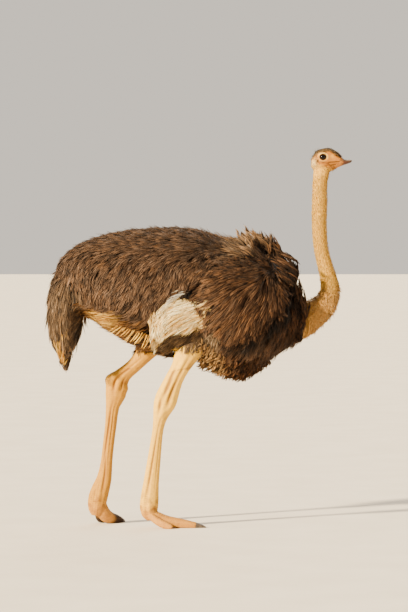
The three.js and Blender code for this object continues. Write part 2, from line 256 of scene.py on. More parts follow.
def block(name, centre, size, turn=0.0):
    """A box, its X axis lifted by an angle in degrees."""
    bm = bmesh.new()
    bmesh.ops.create_cube(bm, size=1.0)
    return put_at(piece_from(name, bm), centre, size, turn)


# ---- Surfaces that plumes grow on and lie along ---------------------------------------------------
class Surface:
    def __init__(self, piece):
        mesh = piece.data
        mesh.calc_loop_triangles()
        corners = np.empty(len(mesh.loop_triangles) * 3, np.int32)
        mesh.loop_triangles.foreach_get("vertices", corners)
        self.corners = corners.reshape(-1, 3)
        self.places = places_of(piece)
        self.normals = normals_of(piece)
        self.tree = BVHTree.FromPolygons(self.places.tolist(), self.corners.tolist())

    def scatter(self, spacing, rng):
        """Random points on the surface, about one to each square of the spacing, and their normals."""
        a, b, c = (self.places[self.corners[:, i]] for i in range(3))
        areas = np.linalg.norm(np.cross(b - a, c - a), axis=1) / 2.0
        count = int(areas.sum() / spacing**2)
        chosen = rng.choice(len(areas), count, p=areas / areas.sum())
        u, v = rng.random((2, count))
        flip = u + v > 1.0
        u[flip], v[flip] = 1.0 - u[flip], 1.0 - v[flip]
        places = a[chosen] + (b - a)[chosen] * u[:, None] + (c - a)[chosen] * v[:, None]
        return places, self.normal_at(chosen)

    def normal_at(self, faces):
        return unit(self.normals[self.corners[faces]].mean(axis=1))

    def snap(self, points):
        """The nearest place of the surface to each point, and its normal."""
        found = [self.tree.find_nearest(point) for point in points.tolist()]
        places = np.array([hit[0] for hit in found])
        return places, self.normal_at(np.array([hit[2] for hit in found]))

    def holds(self, points):
        """Whether each point is inside."""
        places, normals = self.snap(points)
        return ((points - places) * normals).sum(axis=1) < 0.0


# ---- Skin ----------------------------------------------------------------------------------------
EYE_RADIUS = 19.5 * MM
EYE_OPENING = (19.5 * MM, 12.0 * MM, 13.4 * MM)
EYE_TILT = -12.0  # the opening slopes down towards the bill
LID_THICKNESS = 1.9 * MM
MOUTH_CORNER = np.array([0.5885, 0.0, 1.681])
MOUTH_SLOPE = 3.0
MOUTH_GAP = 1.2 * MM
FACE_END = 0.6400  # the face's skin laps over the foot of the bill up to here, at the mouth's height
FACE_LEAN = -24.0
EAR_HOLE = (0.5415, 0.036, 1.6865)
EAR_SIZE = (2.4 * MM, 8.0 * MM, 4.0 * MM)
EAR_LEAN = 70.0
HEAD_VOXEL = 1.6 * MM
LEG_VOXEL = 2.0 * MM
HORN_VOXEL = 0.9 * MM
COAT_DEPTH = 22.0 * MM
NECK_ROOT = (0.46, 0.0, 0.955)  # flesh that joins the neck to the trunk
NECK_ROOT_SIZE = (0.085, 0.058, 0.078)
NECK_ROOT_LEAN = 25.0
THINNED = 0.24  # share of the skin's faces that is kept below the head
HEAD_FOOT = 1.655  # height from which the skin keeps all its faces
SCUTE = 11.0 * MM  # height of a plate on the front of the shin
TOE_SCUTE = 8.0 * MM
TOE_AIM = {
    "main_left": (0.69, 0.725, 0.0),
    "main_right": (1.0, -0.02, 0.0),
    "outer_left": (0.22, 0.975, 0.0),
    "outer_right": (0.8, -0.6, 0.0),
}


# Knobs and hollows of each leg: where they lie from back (-1) to front (1) and their height, how wide
# and how tall they are, how they lean, and how far they rise in millimetres. Hollows are negative.
LEG_RELIEF = 1.35  # how strongly the forms below show
LEG_FORMS = {
    "right": [
        (0.28, 0.628, 0.13, 0.050, 0.8, -5.0), (-0.25, 0.650, 0.16, 0.040, 0.5, -3.4),
        (-0.72, 0.622, 0.22, 0.024, 0.0, 3.0), (0.05, 0.534, 0.26, 0.020, 0.0, 4.4),
        (0.75, 0.572, 0.25, 0.026, 0.0, 3.6), (0.85, 0.515, 0.25, 0.012, 0.0, -2.6),
        (-0.45, 0.570, 0.14, 0.036, 0.0, -3.0), (-0.18, 0.300, 0.15, 0.190, 1.0, -3.6),
        (0.55, 0.320, 0.10, 0.160, 0.0, -1.8), (-0.45, 0.720, 0.16, 0.060, -1.5, -3.0),
        (0.20, 0.745, 0.14, 0.060, -1.2, -2.6), (0.10, 0.118, 0.40, 0.022, 0.0, 2.6),
        (0.55, 0.088, 0.30, 0.010, 0.0, -2.4),
    ],
    "left": [
        (-0.85, 0.680, 0.40, 0.026, 0.0, 13.0), (0.12, 0.645, 0.24, 0.020, 0.0, 4.6),
        (0.90, 0.632, 0.25, 0.014, 0.0, 4.0), (0.90, 0.662, 0.25, 0.011, 0.0, -3.6),
        (-0.25, 0.660, 0.13, 0.034, 1.5, -4.4), (0.45, 0.655, 0.12, 0.030, 0.0, -3.0),
        (-0.35, 0.440, 0.17, 0.140, 1.2, -3.8), (0.25, 0.450, 0.11, 0.120, 0.0, -1.8),
        (0.05, 0.230, 0.14, 0.080, -3.0, -3.4), (-0.10, 0.745, 0.16, 0.050, 0.0, -3.6),
        (0.10, 0.118, 0.40, 0.022, 0.0, 2.6),
    ],
}


def eye_centre(side):
    low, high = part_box(f"eye_{side}")
    return np.array((low + high) / 2)


def carve_face(head):
    """Cuts the eyes' openings, the mouth line, the ears and the edge of the skin over the bill."""
    for side, sign in SIDES.items():
        eye = eye_centre(side)
        combine(head, ball("socket", eye, (EYE_RADIUS + 0.2 * MM,) * 3, detail=64), "DIFFERENCE")
        outside = eye + np.array([0.0, sign * (EYE_RADIUS + LID_THICKNESS), 0.0])
        combine(head, ball("opening", outside, EYE_OPENING, EYE_TILT, 64), "DIFFERENCE")
        ear = (EAR_HOLE[0], sign * EAR_HOLE[1], EAR_HOLE[2])
        combine(head, ball("ear", ear, EAR_SIZE, EAR_LEAN), "DIFFERENCE")
        mouth = MOUTH_CORNER + np.array([0.03, sign * 0.045, 0.0016])
        combine(head, block("mouth", mouth, (0.06, 0.05, MOUTH_GAP), MOUTH_SLOPE), "DIFFERENCE")
    lean = math.radians(FACE_LEAN)
    middle = (FACE_END + 0.1 * math.cos(lean), 0.0, 1.683 + 0.1 * math.sin(lean))
    return combine(head, block("ahead", middle, (0.2, 0.2, 0.3), FACE_LEAN), "DIFFERENCE")


def face_relief(co):
    """How far the face stands proud of the plain head: brow, cheek fold and rings round the eye."""
    depth = np.zeros(len(co))
    for side in SIDES:
        eye = eye_centre(side)
        away = co - eye
        reach = np.hypot(away[:, 0] / 1.25, away[:, 2])
        beside = ramp(co[:, 1] * SIDES[side], 0.012, 0.026)
        rings = np.sin(reach / (3.4 * MM) * 2.0 * math.pi) * ramp(reach, 0.013, 0.018) * bump(reach, 0.030)
        brow = bump(away[:, 2] - 0.0195 + away[:, 0] * 0.2, 0.006) * bump(away[:, 0] + 0.002, 0.026)
        jaw = bump(co[:, 2] - jaw_line(co[:, 0]), 0.0045) * bump(co[:, 0] - 0.60, 0.034)
        lore = bump(co[:, 2] - 1.7, 0.01) * bump(co[:, 0] - 0.614, 0.015)
        lip = bump(co[:, 2] - mouth_line(co[:, 0]) - 0.0035, 0.0032) * bump(co[:, 0] - 0.615, 0.03)
        ear = bump(np.hypot(co[:, 0] - EAR_HOLE[0], co[:, 2] - EAR_HOLE[2]) - 0.0075, 0.0028)
        lines = np.sin((co[:, 2] - mouth_line(co[:, 0])) / (4.4 * MM) * 2.0 * math.pi)
        lines *= ramp(co[:, 2], 1.652, 1.660) * ramp(co[:, 2], 1.681, 1.677) * bump(co[:, 0] - 0.605, 0.035)
        forms = 0.7 * lines + 0.5 * rings + 2.6 * brow - 2.0 * jaw - 3.0 * lore + 1.4 * lip + 1.2 * ear
        depth += beside * forms * MM
    return depth


def mouth_line(x):
    return MOUTH_CORNER[2] + (x - MOUTH_CORNER[0]) * math.tan(math.radians(MOUTH_SLOPE))


def jaw_line(x):
    """Height of the fold under the cheek, which runs forward to the bill's lower edge."""
    return 1.6655 + (x - 0.59) * 0.16


def head_and_neck():
    nodes = ["head", "ear_left", "ear_right", "neck_upper", "neck_middle", "neck_lower"]
    lids = [ball("lid", eye_centre(side), (EYE_RADIUS + LID_THICKNESS,) * 3) for side in SIDES]
    bills = copy_of("bills", ["bill_upper", "bill_lower"])
    swell(bills, 0.6 * MM)
    head = organic("head_and_neck", nodes + lids + [bills], HEAD_VOXEL, 6)
    soften(head, 34, ramp(places_of(head)[:, 2], 1.66, 1.6))
    co = places_of(head)
    under_down = -3.5 * MM * ramp(co[:, 2], 1.63, 1.55) - 7.0 * MM * ramp(co[:, 2], 1.13, 1.02)
    swell(head, face_relief(co) + under_down)
    return carve_face(head)


def scute_relief(co, normals, side):
    """Plates down the front of the shin and over the toes, and how deep in a crease each point is, which
    the skin shows as painted shade.
    """
    wobble = 0.3 * np.sin(co[:, 1] * 260.0 + co[:, 2] * 23.0)
    front = ramp(normals[:, 0], 0.15, 0.6) * ramp(co[:, 2], 0.5, 0.46) * ramp(co[:, 2], 0.07, 0.10)
    across = ramp(np.abs(normals[:, 1]), 0.9, 0.5)
    shin = front * across * plate_profile(co[:, 2] / SCUTE + wobble)
    depth = shin * 1.0 * MM
    crease_shade = front * across * plate_crease(co[:, 2] / SCUTE + wobble)
    upward = ramp(normals[:, 2], 0.2, 0.6) * ramp(co[:, 2], 0.10, 0.07)
    for toe in ("main", "outer"):
        aim_to = np.array(TOE_AIM[f"{toe}_{side}"])
        low, high = (np.array(corner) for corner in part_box(f"toe_{toe}_{side}"))
        within = np.all((co > low - 0.004) & (co < high + 0.004), axis=1)
        along = (co @ aim_to) / TOE_SCUTE + wobble
        depth = np.where(within, upward * plate_profile(along) * 1.1 * MM, depth)
        crease_shade = np.where(within, upward * plate_crease(along), crease_shade)
    return depth, crease_shade


def plate_profile(rows):
    """The height over each row of plates: a quick rise, then a slow slope like laid tiles."""
    t = rows % 1.0
    return ramp(t, 0.0, 0.22) * (1.0 - 0.45 * t) - 0.5


def plate_crease(rows):
    t = rows % 1.0
    return np.maximum(bump(t, 0.13), bump(t - 1.0, 0.13))


def within_leg(co):
    """For each point of a leg, how far forward and sideways it lies in its level slice, from -1 to 1."""
    levels = np.arange(0.07, 0.9, 0.01)
    shares = []
    for axis in (0, 1):
        ends = []
        for level in levels:
            slab = co[np.abs(co[:, 2] - level) < 0.006, axis]
            ends.append((slab.min(), slab.max()) if len(slab) else ends[-1])
        low, high = (np.interp(co[:, 2], levels, end) for end in np.array(ends).T)
        shares.append((2.0 * co[:, axis] - low - high) / np.maximum(high - low, 1e-4))
    return shares


def sinews(co, side):
    """Relief of tendons and joints under the skin of a leg, in metres, hollows below 0."""
    fore, aside = within_leg(co)
    z = co[:, 2]
    relief = np.zeros(len(co))
    flat_side = ramp(np.abs(aside), 0.2, 0.65)
    for at, height, width, reach, lean, rise in LEG_FORMS[side]:
        form = LEG_RELIEF * rise * bump(fore - at - lean * (z - height), width) * bump(z - height, reach)
        relief += form * (flat_side if rise < 0.0 else np.maximum(flat_side, np.abs(at) > 0.5))
    rough = np.sin(co @ np.array((310.0, 170.0, 260.0))) * np.sin(co @ np.array((-150.0, 240.0, 330.0)))
    heel = ramp(fore, 0.1, -0.3) * bump(z - 0.13, 0.07)
    return (relief + 1.6 * rough * heel) * MM


def leg(side):
    nodes = [f"{part}_{side}" for part in ("shank", "tarsus", "toe_main", "toe_outer")]
    skin = organic(f"leg_{side}", nodes, LEG_VOXEL, 5)
    soften(skin, 14, ramp(places_of(skin)[:, 2], 0.08, 0.16))
    co = places_of(skin)
    depth, _ = scute_relief(co, normals_of(skin), side)
    folds = 0.5 * MM * np.sin(co[:, 2] * 700.0 + 1.5 * np.sin(co[:, 1] * 150.0)) * joint_folds(co[:, 2])
    off_floor = ramp(co[:, 2], 0.001, 0.008)
    swell(skin, (depth + folds + sinews(co, side)) * off_floor)
    return skin


def joint_folds(height):
    """Where the skin lies in folds: at the ankle joint and above the foot."""
    return bump(height - 0.60, 0.05) + bump(height - 0.10, 0.03)


def trunk_core():
    """The flesh under the plumage, where no line of it shows."""
    nodes = ["trunk", "tail", "wing_left", "wing_right", "primaries_left", "primaries_right"]
    core = organic("trunk_core", nodes, 14 * MM, 50)
    swell(core, -COAT_DEPTH)
    add_modifier(core, "REMESH", mode="VOXEL", voxel_size=12 * MM)
    add_modifier(core, "SMOOTH", factor=0.5, iterations=6)
    return settle(core)


def drop_crumbs(piece):
    """Deletes all but the largest connected part."""
    bm = bmesh.new()
    bm.from_mesh(piece.data)
    left, parts = set(bm.verts), []
    while left:
        part = [left.pop()]
        for vert in part:
            joined = {edge.other_vert(vert) for edge in vert.link_edges} & left
            left -= joined
            part += joined
        parts.append(part)
    parts.sort(key=len)
    bmesh.ops.delete(bm, geom=[vert for part in parts[:-1] for vert in part], context="VERTS")
    bm.to_mesh(piece.data)
    bm.free()
    return piece


def put_in_order(piece):
    """Numbers vertices and faces by their places, as the order a Boolean leaves differs from run to run."""
    co = places_of(piece)
    order = np.lexsort(co.T)
    number = np.argsort(order).tolist()
    faces = []
    for polygon in piece.data.polygons:
        face = [number[vertex] for vertex in polygon.vertices]
        first = face.index(min(face))
        faces.append(face[first:] + face[:first])
    mesh = bpy.data.meshes.new(piece.name)
    mesh.from_pydata(co[order].tolist(), [], sorted(faces))
    piece.data = mesh
    return piece


def hip(leg_skin):
    """Flesh that joins the top of a leg to the trunk."""
    co = places_of(leg_skin)
    top = co[co[:, 2] > co[:, 2].max() - 0.03].mean(axis=0)
    return ball("hip", top * (1.0, 0.75, 1.0) + (-0.01, 0.0, 0.03), (0.04, 0.034, 0.065))


def make_skin():
    skin = head_and_neck()
    for side in SIDES:
        skin_of_leg = leg(side)
        combine(skin, hip(skin_of_leg), "UNION")
        combine(skin, skin_of_leg, "UNION")
    combine(skin, ball("neck_root", NECK_ROOT, NECK_ROOT_SIZE, NECK_ROOT_LEAN), "UNION")
    combine(skin, trunk_core(), "UNION")
    drop_crumbs(thin_out(put_in_order(skin), THINNED, HEAD_FOOT))
    co = places_of(skin)
    co[:, 2] = np.maximum(co[:, 2], 0.0)
    set_places(skin, co)
    skin.name = "skin"
    smooth_shade(skin)
    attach(skin, "root")
    nodes = ["head", "trunk", "tail", "neck_upper", "neck_middle", "neck_lower"]
    pairs = ["ear", "wing", "primaries", "shank", "tarsus", "toe_main", "toe_outer"]
    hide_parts(*nodes, *[f"{part}_{side}" for part in pairs for side in SIDES])
    return skin


# ---- Markings: the same for skin and coat ---------------------------------------------------------
# Each region has the colour of its shaded roots and of its sunned tips.
BACK_TONE = (paint(38, 27, 19), paint(135, 103, 80))
WING_TONE = (paint(14, 9, 6), paint(138, 99, 70))
RUFF_TONE = (paint(20, 13, 9), paint(214, 170, 128))
# The breast's brown, darkened with painted shade where its front and underside face away from the light.
SHADED_BREAST_TONE = (paint(8, 5, 3), paint(116, 78, 50))
SHADE_TONE = (paint(5, 3, 2), paint(41, 24, 13))
TAIL_TONE = (paint(33, 25, 19), paint(148, 118, 90))
CREAM_TONE = (paint(160, 102, 32), paint(250, 204, 104))
WHITE_TONE = (paint(212, 166, 88), paint(255, 242, 192))
DOWN_TONE = (paint(58, 45, 33), paint(160, 130, 98))
FRINGE_TONE = (paint(70, 44, 22), paint(226, 176, 112))
BELLY_TONE = (paint(34, 19, 9), paint(140, 96, 50))
NECK_BASE_TONE = (paint(132, 92, 44), paint(222, 168, 92))
NECK_TONE = (paint(190, 136, 48), paint(228, 180, 74))
FACE_TONE = (paint(136, 76, 26), paint(188, 126, 48))
CHEEK_TONE = (paint(62, 28, 10), paint(88, 44, 16))
WISP_TONE = (paint(206, 198, 184), paint(250, 246, 236))
LORE_TONE = (paint(196, 132, 40), paint(240, 176, 60))
CROWN_TONE = (paint(70, 52, 33), paint(132, 106, 72))
NAPE_TONE = (paint(206, 172, 110), paint(240, 214, 150))
# The near (right) leg in the light, the far (left) leg darker with painted shade.
LIT_AND_SHADED_LEG_TONES = {
    "right": (paint(204, 148, 42), paint(250, 204, 74)),
    "left": (paint(156, 104, 26), paint(208, 156, 48)),
}
FOOT_TONE = (paint(150, 96, 38), paint(212, 156, 70))
HEEL_TONE = (paint(84, 50, 24), paint(140, 92, 44))
BROW_TONE = (paint(196, 150, 76), paint(236, 196, 110))
LID_TONE = (paint(30, 18, 12), paint(40, 24, 16))
# Painted shade along the mouth's slit and under the fold of the jaw.
MOUTH_SHADE_TONE = (paint(40, 20, 10), paint(66, 34, 16))
CROWN_EDGE = (
    (0.510, 1.690), (0.530, 1.708), (0.550, 1.724), (0.600, 1.730), (0.620, 1.716), (0.640, 1.702),
    (0.654, 1.694),
)

# Outlines of the plumage's regions, seen from the side: x and z of each corner.
WING = (
    (-0.048, 1.100), (-0.002, 1.068), (0.007, 1.040), (0.030, 1.013), (0.0, 0.962), (0.067, 0.926),
    (0.104, 0.889), (0.150, 0.848), (0.225, 0.876), (0.295, 0.915), (0.352, 0.962), (0.394, 1.018),
    (0.420, 1.090), (0.405, 1.200), (0.352, 1.261), (0.186, 1.257), (0.104, 1.229), (0.025, 1.147),
)
FAN = (
    (0.055, 1.054), (-0.030, 1.068), (-0.071, 1.070), (-0.127, 1.050), (-0.182, 1.020), (-0.219, 1.001),
    (-0.225, 0.926), (-0.221, 0.870), (-0.207, 0.842), (-0.191, 0.861), (-0.168, 0.889), (-0.131, 0.912),
    (-0.090, 0.926), (0.065, 0.944),
)
DOWN_PATCH = (
    (-0.172, 0.878), (-0.131, 0.912), (-0.090, 0.926), (0.067, 0.930), (0.104, 0.902), (0.099, 0.866),
    (0.067, 0.780), (-0.127, 0.780), (-0.172, 0.847),
)
SHOULDER = np.array([0.400, 1.200])


def within(places, outline):
    """How far each place lies inside an outline of the side view. It is negative outside."""
    here = places[:, None, [0, 2]]
    start = np.array(outline)
    side = np.roll(start, -1, axis=0) - start
    t = np.clip(((here - start) * side).sum(-1) / (side**2).sum(-1), 0.0, 1.0)
    reach = np.linalg.norm(here - start - t[..., None] * side, axis=-1).min(1)
    crossed = (start[:, 1] > here[..., 1]) != (start[:, 1] + side[:, 1] > here[..., 1])
    height = (here[..., 1] - start[:, 1]) / np.where(side[:, 1] == 0.0, 1.0, side[:, 1])
    crossed &= here[..., 0] < start[:, 0] + height * side[:, 0]
    return np.where(crossed.sum(1) % 2 == 1, reach, -reach)


def flank_edge(x):
    """Height of the roots of the last of the flank's feathers, which hang over the pale belly."""
    return 1.042 - 0.235 * (x + 0.513)


def on_crown(x, z):
    """The brown bristly cap, which comes down the forehead to the bill and down the back of the head."""
    edge = np.interp(x, *zip(*CROWN_EDGE))
    return ramp(z - edge, -0.003, 0.006)


def ring_round_eye(places):
    """The pale skin of the lids."""
    ring = np.zeros(len(places))
    for side, sign in SIDES.items():
        away = places - eye_centre(side)
        reach = np.hypot(away[:, 0] / 1.1, away[:, 2])
        upper = 0.35 + 0.65 * ramp(away[:, 2] + away[:, 0] * 0.4, -0.004, 0.006)
        ring = np.maximum(ring, bump(reach - 0.0185, 0.0036) * upper * (places[:, 1] * sign > 0.01))
    return ring


def lid_margin(places):
    """The dark rim of the lids, where they meet the eye."""
    rim = np.zeros(len(places))
    for side, sign in SIDES.items():
        away = turned(places - eye_centre(side), -EYE_TILT)
        reach = np.hypot(away[:, 0] / 1.12, away[:, 2])
        rim = np.maximum(rim, ramp(reach, 0.0156, 0.0142) * (places[:, 1] * sign > 0.01))
    return rim


def thigh_edge(places):
    """The height down to which soft plumes cover each leg."""
    near = places[:, 1] < 0.0
    return np.where(near, 0.832, 0.812) + 0.008 * np.sin(places[:, 0] * 140.0)


def even_tones(pair, count):
    """The same root and tip colours for a number of places."""
    return [np.tile(tone, (count, 1)) for tone in pair]


def painted(tones, layers):
    """Root and tip colours with layers painted over them, each a pair of colours and its share."""
    for pair, share in layers:
        tones = [blend_rows(tone, top, np.clip(share, 0.0, 1.0)) for tone, top in zip(tones, pair)]
    return tones


def body_tones(places):
    """Root and tip colours of the plumage at each place of the body."""
    x, y, z = places.T
    ragged = 0.012 * np.sin(x * 61.0 + z * 23.0) + 0.009 * np.sin(z * 83.0 - x * 37.0)
    wing = within(places, WING)
    down = within(places, DOWN_PATCH) + ragged * 0.4
    below = flank_edge(x) - z + ragged
    layers = [
        # Painted shade: the breast's front and the underside ahead of the legs take the darkened breast
        # tone.
        (SHADED_BREAST_TONE, ramp(x, 0.29, 0.40) * ramp(z, 1.27, 1.14)),
        (SHADED_BREAST_TONE, ramp(x, -0.05, 0.1) * ramp(z, 0.86, 0.80)),
        (SHADE_TONE, ramp(wing, -0.040, -0.012) * ramp(x + z, 0.95, 1.05) * ramp(z, 1.2, 1.1)),
        (WING_TONE, ramp(wing + ragged * 0.7, -0.006, 0.006) * ramp(np.abs(y), 0.06, 0.12)),
        (RUFF_TONE, ramp(z - 0.25 * (x - 0.3), 1.24, 1.31) * ramp(x, 0.13, 0.24)),
        (BELLY_TONE, ramp(below, -0.01, 0.02) * ramp(x, 0.04, -0.06)),
        (CREAM_TONE, ramp(below, -0.008, 0.012) * belly_band(x, z) * ramp(x, -0.46, -0.42)),
        (TAIL_TONE, in_tail(x, z)),
        (DOWN_TONE, ramp(down, -0.008, 0.008) * ramp(np.abs(y), 0.03, 0.07)),
    ]
    return painted(even_tones(BACK_TONE, len(places)), layers)


def in_tail(x, z):
    edge = -0.50 - 0.09 * ramp(z, 1.02, 1.2)
    return ramp(x, edge, edge - 0.02) * ramp(z, 1.22, 1.14)


def belly_band(x, z):
    """The cream band under the flank's edge, which ends where the stripes start."""
    return ramp(flank_edge(x) - z, 0.13, 0.09) * ramp(x, -0.30, -0.38)


def bare_tones(places):
    """Colours of the head, neck and legs."""
    x, y, z = places.T
    near = ramp(y, 0.03, -0.03)
    base_edge = z + 0.012 * np.sin(x * 90.0 + y * 70.0)
    # The far leg takes the darker pair: painted shade.
    legs = [blend_rows(LIT_AND_SHADED_LEG_TONES["left"][i], LIT_AND_SHADED_LEG_TONES["right"][i], near) for i in range(2)]
    face = ramp(z + 0.3 * (x - 0.57), 1.655, 1.672)
    layers = [
        (legs, ramp(z, 0.95, 0.9)),
        (FOOT_TONE, ramp(z, 0.13, 0.05)),
        (HEEL_TONE, 0.55 * bump(z - 0.105, 0.045) * ramp(patches(places * 1.7), -0.1, 0.5)),
        (NECK_BASE_TONE, ramp(base_edge, 1.16, 1.06) * ramp(z, 0.6, 0.7) * ramp(x, 0.2, 0.3)),
        (FACE_TONE, face),
        (CROWN_TONE, on_crown(x, z)),
        (CHEEK_TONE, 0.8 * bump(x - 0.566, 0.012) * bump(z - 1.681, 0.007)),
        (CHEEK_TONE, 0.7 * bump(x - 0.586, 0.010) * bump(z - 1.676, 0.007)),
        (LORE_TONE, bump(x - 0.608, 0.010) * bump(z - 1.707, 0.008)),
        (BROW_TONE, ring_round_eye(places)),
        (LID_TONE, lid_margin(places)),
        # Painted shade inside the ear hole, in the dark tone of the lids' rim.
        (LID_TONE, bump(np.hypot(x - EAR_HOLE[0], z - EAR_HOLE[2]), 0.0042)),
        # Painted shade in the mouth's slit and under the jaw's fold.
        (MOUTH_SHADE_TONE, bump(z - mouth_line(x), 0.0022) * ramp(x, 0.586, 0.594) * face),
        (MOUTH_SHADE_TONE, 0.55 * bump(z - jaw_line(x), 0.0026) * ramp(x, 0.585, 0.615) * face),
        (NAPE_TONE, bump(x - 0.522, 0.014) * bump(z - 1.678, 0.02)),
    ]
    return painted(even_tones(NECK_TONE, len(places)), layers)


# ---- Plumes --------------------------------------------------------------------------------------
@dataclass
class Plume:
    """How the plumes of a region are built. Lengths are in metres."""

    length: float = 0.085
    half_width: float = 0.015
    strands: int = 12
    strand_width: float = 0.0028
    depth: float = 0.016  # how far the root lies under the outer surface
    lift: float = 0.005  # how far the tip stands off it
    curl: float = 0.0025
    points: int = 4  # along each strand
    free: float = 0.0  # how much the plume hangs free of the surface
    taper: float = 0.3  # how much narrower the plume is at its tip
    lightness: float = 0.5


@dataclass
class Strands:
    """Thin pointed vanes: their middle lines, the way they are wide, and what they carry."""

    spines: np.ndarray
    wides: np.ndarray
    colours: np.ndarray
    spots: np.ndarray


PROFILES = {3: (0.8, 1.0, 0.0), 4: (0.55, 1.0, 0.8, 0.0), 5: (0.5, 1.0, 0.95, 0.65, 0.0)}
UV_PATCH = 0.003


def walk(surface, roots, normals, flow, style, lengths):
    """The middle line of each plume and the surface's normals along it."""
    line, ups = [roots], [normals]
    heading = None
    steps = 4
    for _ in range(steps):
        wish = flow(line[-1], ups[-1])
        heading = wish if heading is None else unit(wish * (1.0 - style.free) + heading * style.free)
        flat = unit(heading - (heading * ups[-1]).sum(1, keepdims=True) * ups[-1] * (1.0 - style.free))
        ahead = line[-1] + flat * (lengths / steps)[:, None]
        place, up = surface.snap(ahead)
        place = place * (1.0 - style.free) + ahead * style.free
        line.append(place)
        ups.append(unit(up + ups[-1] * style.free))
    return np.stack(line, 1), np.stack(ups, 1)


def sample_line(line, t):
    """Points of a batch of lines at shares of their length, which may run past the end."""
    last = line.shape[1] - 1
    at = np.clip(t, 0.0, 1.15) * last
    cell = np.minimum(at.astype(int), last - 1)
    rest = (at - cell)[..., None]
    rows = np.arange(len(line))[:, None, None]
    return line[rows, cell] * (1.0 - rest) + line[rows, cell + 1] * rest


def barbs(line, ups, style, tones, spots, rng):
    """Strands that leave each plume's middle line at a narrow angle, one after another."""
    count, many, points = len(line), style.strands, style.points
    start = rng.uniform(0.0, 0.42, (count, many, 1))
    reach = rng.uniform(0.42, 0.62, (count, many, 1))
    share = np.linspace(0.0, 1.0, points)
    t = start + reach * share
    middle, up = sample_line(line, t), unit(sample_line(ups, t))
    along = unit(np.gradient(middle, axis=2))
    side = unit(np.cross(up, along))
    spread = rng.uniform(-1.0, 1.0, (count, many, 1)) * style.half_width
    spread = spread * (0.25 + 0.75 * share) * (1.0 - style.taper * np.clip(t, 0.0, 1.0))
    phase = rng.uniform(0.0, 2.0 * math.pi, (count, many, 1))
    wave = style.curl * np.sin(phase + share * rng.uniform(2.0, 5.0, (count, many, 1))) * share
    locks = patches(line[:, 0])[:, None, None]
    stand = np.minimum(style.lift * rng.lognormal(0.0, 0.6, (count, 1, 1)) * np.exp(0.9 * locks), 0.03)
    height = stand * t**2 - style.depth * (1.0 - np.minimum(t, 1.0)) ** 1.6
    height = height + rng.uniform(-0.5, 0.5, (count, many, 1)) * style.curl + wave
    spines = middle + side * (spread + wave[..., ::-1] * 0.6)[..., None] + up * height[..., None]
    roll = rng.normal(0.0, 0.45, (count, many, 1, 1))
    width = style.strand_width * rng.uniform(0.7, 1.3, (count, many, 1, 1)) / 2.0
    wides = (side * np.cos(roll) + up * np.sin(roll)) * width
    colours = strand_colours(tones, t, locks, style, rng)
    return Strands(
        spines.reshape(-1, points, 3),
        (wides * np.array(PROFILES[points])[:, None]).reshape(-1, points, 3),
        colours.reshape(-1, points, 3),
        np.repeat(spots, many, axis=0),
    )


def patches(places):
    """A soft irregular pattern between -1 and 1, by which neighbouring plumes form locks."""
    waves = ((61, 23, 40), (-37, 18, 83), (95, -51, -31), (-84, 70, 66), (29, 112, -58), (120, 44, 97))
    return sum(np.sin(places @ np.array(wave) + 2.4 * i) for i, wave in enumerate(waves)) / 3.5


def strand_colours(tones, t, locks, style, rng):
    """Dark towards the root, light towards the tip, and no two plumes quite alike."""
    dark, light = (tone[:, None, None, :] for tone in tones)
    count, many = t.shape[:2]
    own = rng.beta(0.8, 2.0, (count, many, 1)) * 0.75 + rng.beta(0.8, 2.0, (count, 1, 1)) * 0.6
    own = own * (1.0 + 0.45 * locks)
    share = np.clip(own * (0.25 + 0.9 * t) * style.lightness * 2.0, 0.0, 1.0)[..., None]
    shade = (0.6 + 0.4 * np.clip(t, 0.0, 1.0))[..., None]
    warmth = rng.normal(0.0, 0.09, (count, 1, 1, 1)) * np.array([0.6, 0.0, -1.0])
    return (dark + (light - dark) * share) * shade * (1.0 + warmth)


def strand_mesh(name, strands):
    """All strands as one mesh. OFBake gives each a small patch at its root's spot."""
    count, points = strands.spines.shape[:2]
    left = strands.spines - strands.wides
    right = strands.spines[:, :-1] + strands.wides[:, :-1]
    verts = np.concatenate([left, right], axis=1)
    per = 2 * points - 1
    quads = [(k, k + 1, points + k + 1, points + k) for k in range(points - 2)]
    tip = (points - 2, points - 1, 2 * points - 2)
    pattern = np.concatenate([np.ravel(quads).astype(int), tip])
    corners = (np.arange(count)[:, None] * per + pattern).ravel()
    sizes = np.tile([4] * (points - 2) + [3], count)
    mesh = bpy.data.meshes.new(name)
    mesh.vertices.add(count * per)
    mesh.vertices.foreach_set("co", verts.astype(np.float32).ravel())
    mesh.loops.add(len(corners))
    mesh.loops.foreach_set("vertex_index", corners.astype(np.int32))
    mesh.polygons.add(len(sizes))
    mesh.polygons.foreach_set("loop_start", np.concatenate([[0], np.cumsum(sizes)[:-1]]).astype(np.int32))
    mesh.polygons.foreach_set("use_smooth", np.ones(len(sizes), bool))
    mesh.update(calc_edges=True)
    tints = np.concatenate([strands.colours, strands.colours[:, :-1]], axis=1)
    set_colour(mesh, "coat", tints.reshape(-1, 3))
    share = np.linspace(0.0, 1.0, points)
    across = np.repeat([-0.5, 0.5], [points, points - 1])
    along = np.concatenate([share, share[:-1]]) - 0.5
    uv = strands.spots[:, None, :] + np.stack([across, along], -1) * UV_PATCH
    layer = mesh.uv_layers.new(name="OFBake")
    layer.uv.foreach_set("vector", uv.reshape(-1, 2)[corners].astype(np.float32).ravel())
    piece = link(bpy.data.objects.new(name, mesh))
    mesh.materials.append(MATERIALS["plume"])
    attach(piece, "root")
    return piece


def set_colour(mesh, name, rows):
    layer = mesh.color_attributes.new(name, "FLOAT_COLOR", "POINT")
    rgba = np.concatenate([np.clip(rows, 0.0, 1.0), np.ones((len(rows), 1))], axis=1)
    layer.data.foreach_set("color", rgba.astype(np.float32).ravel())


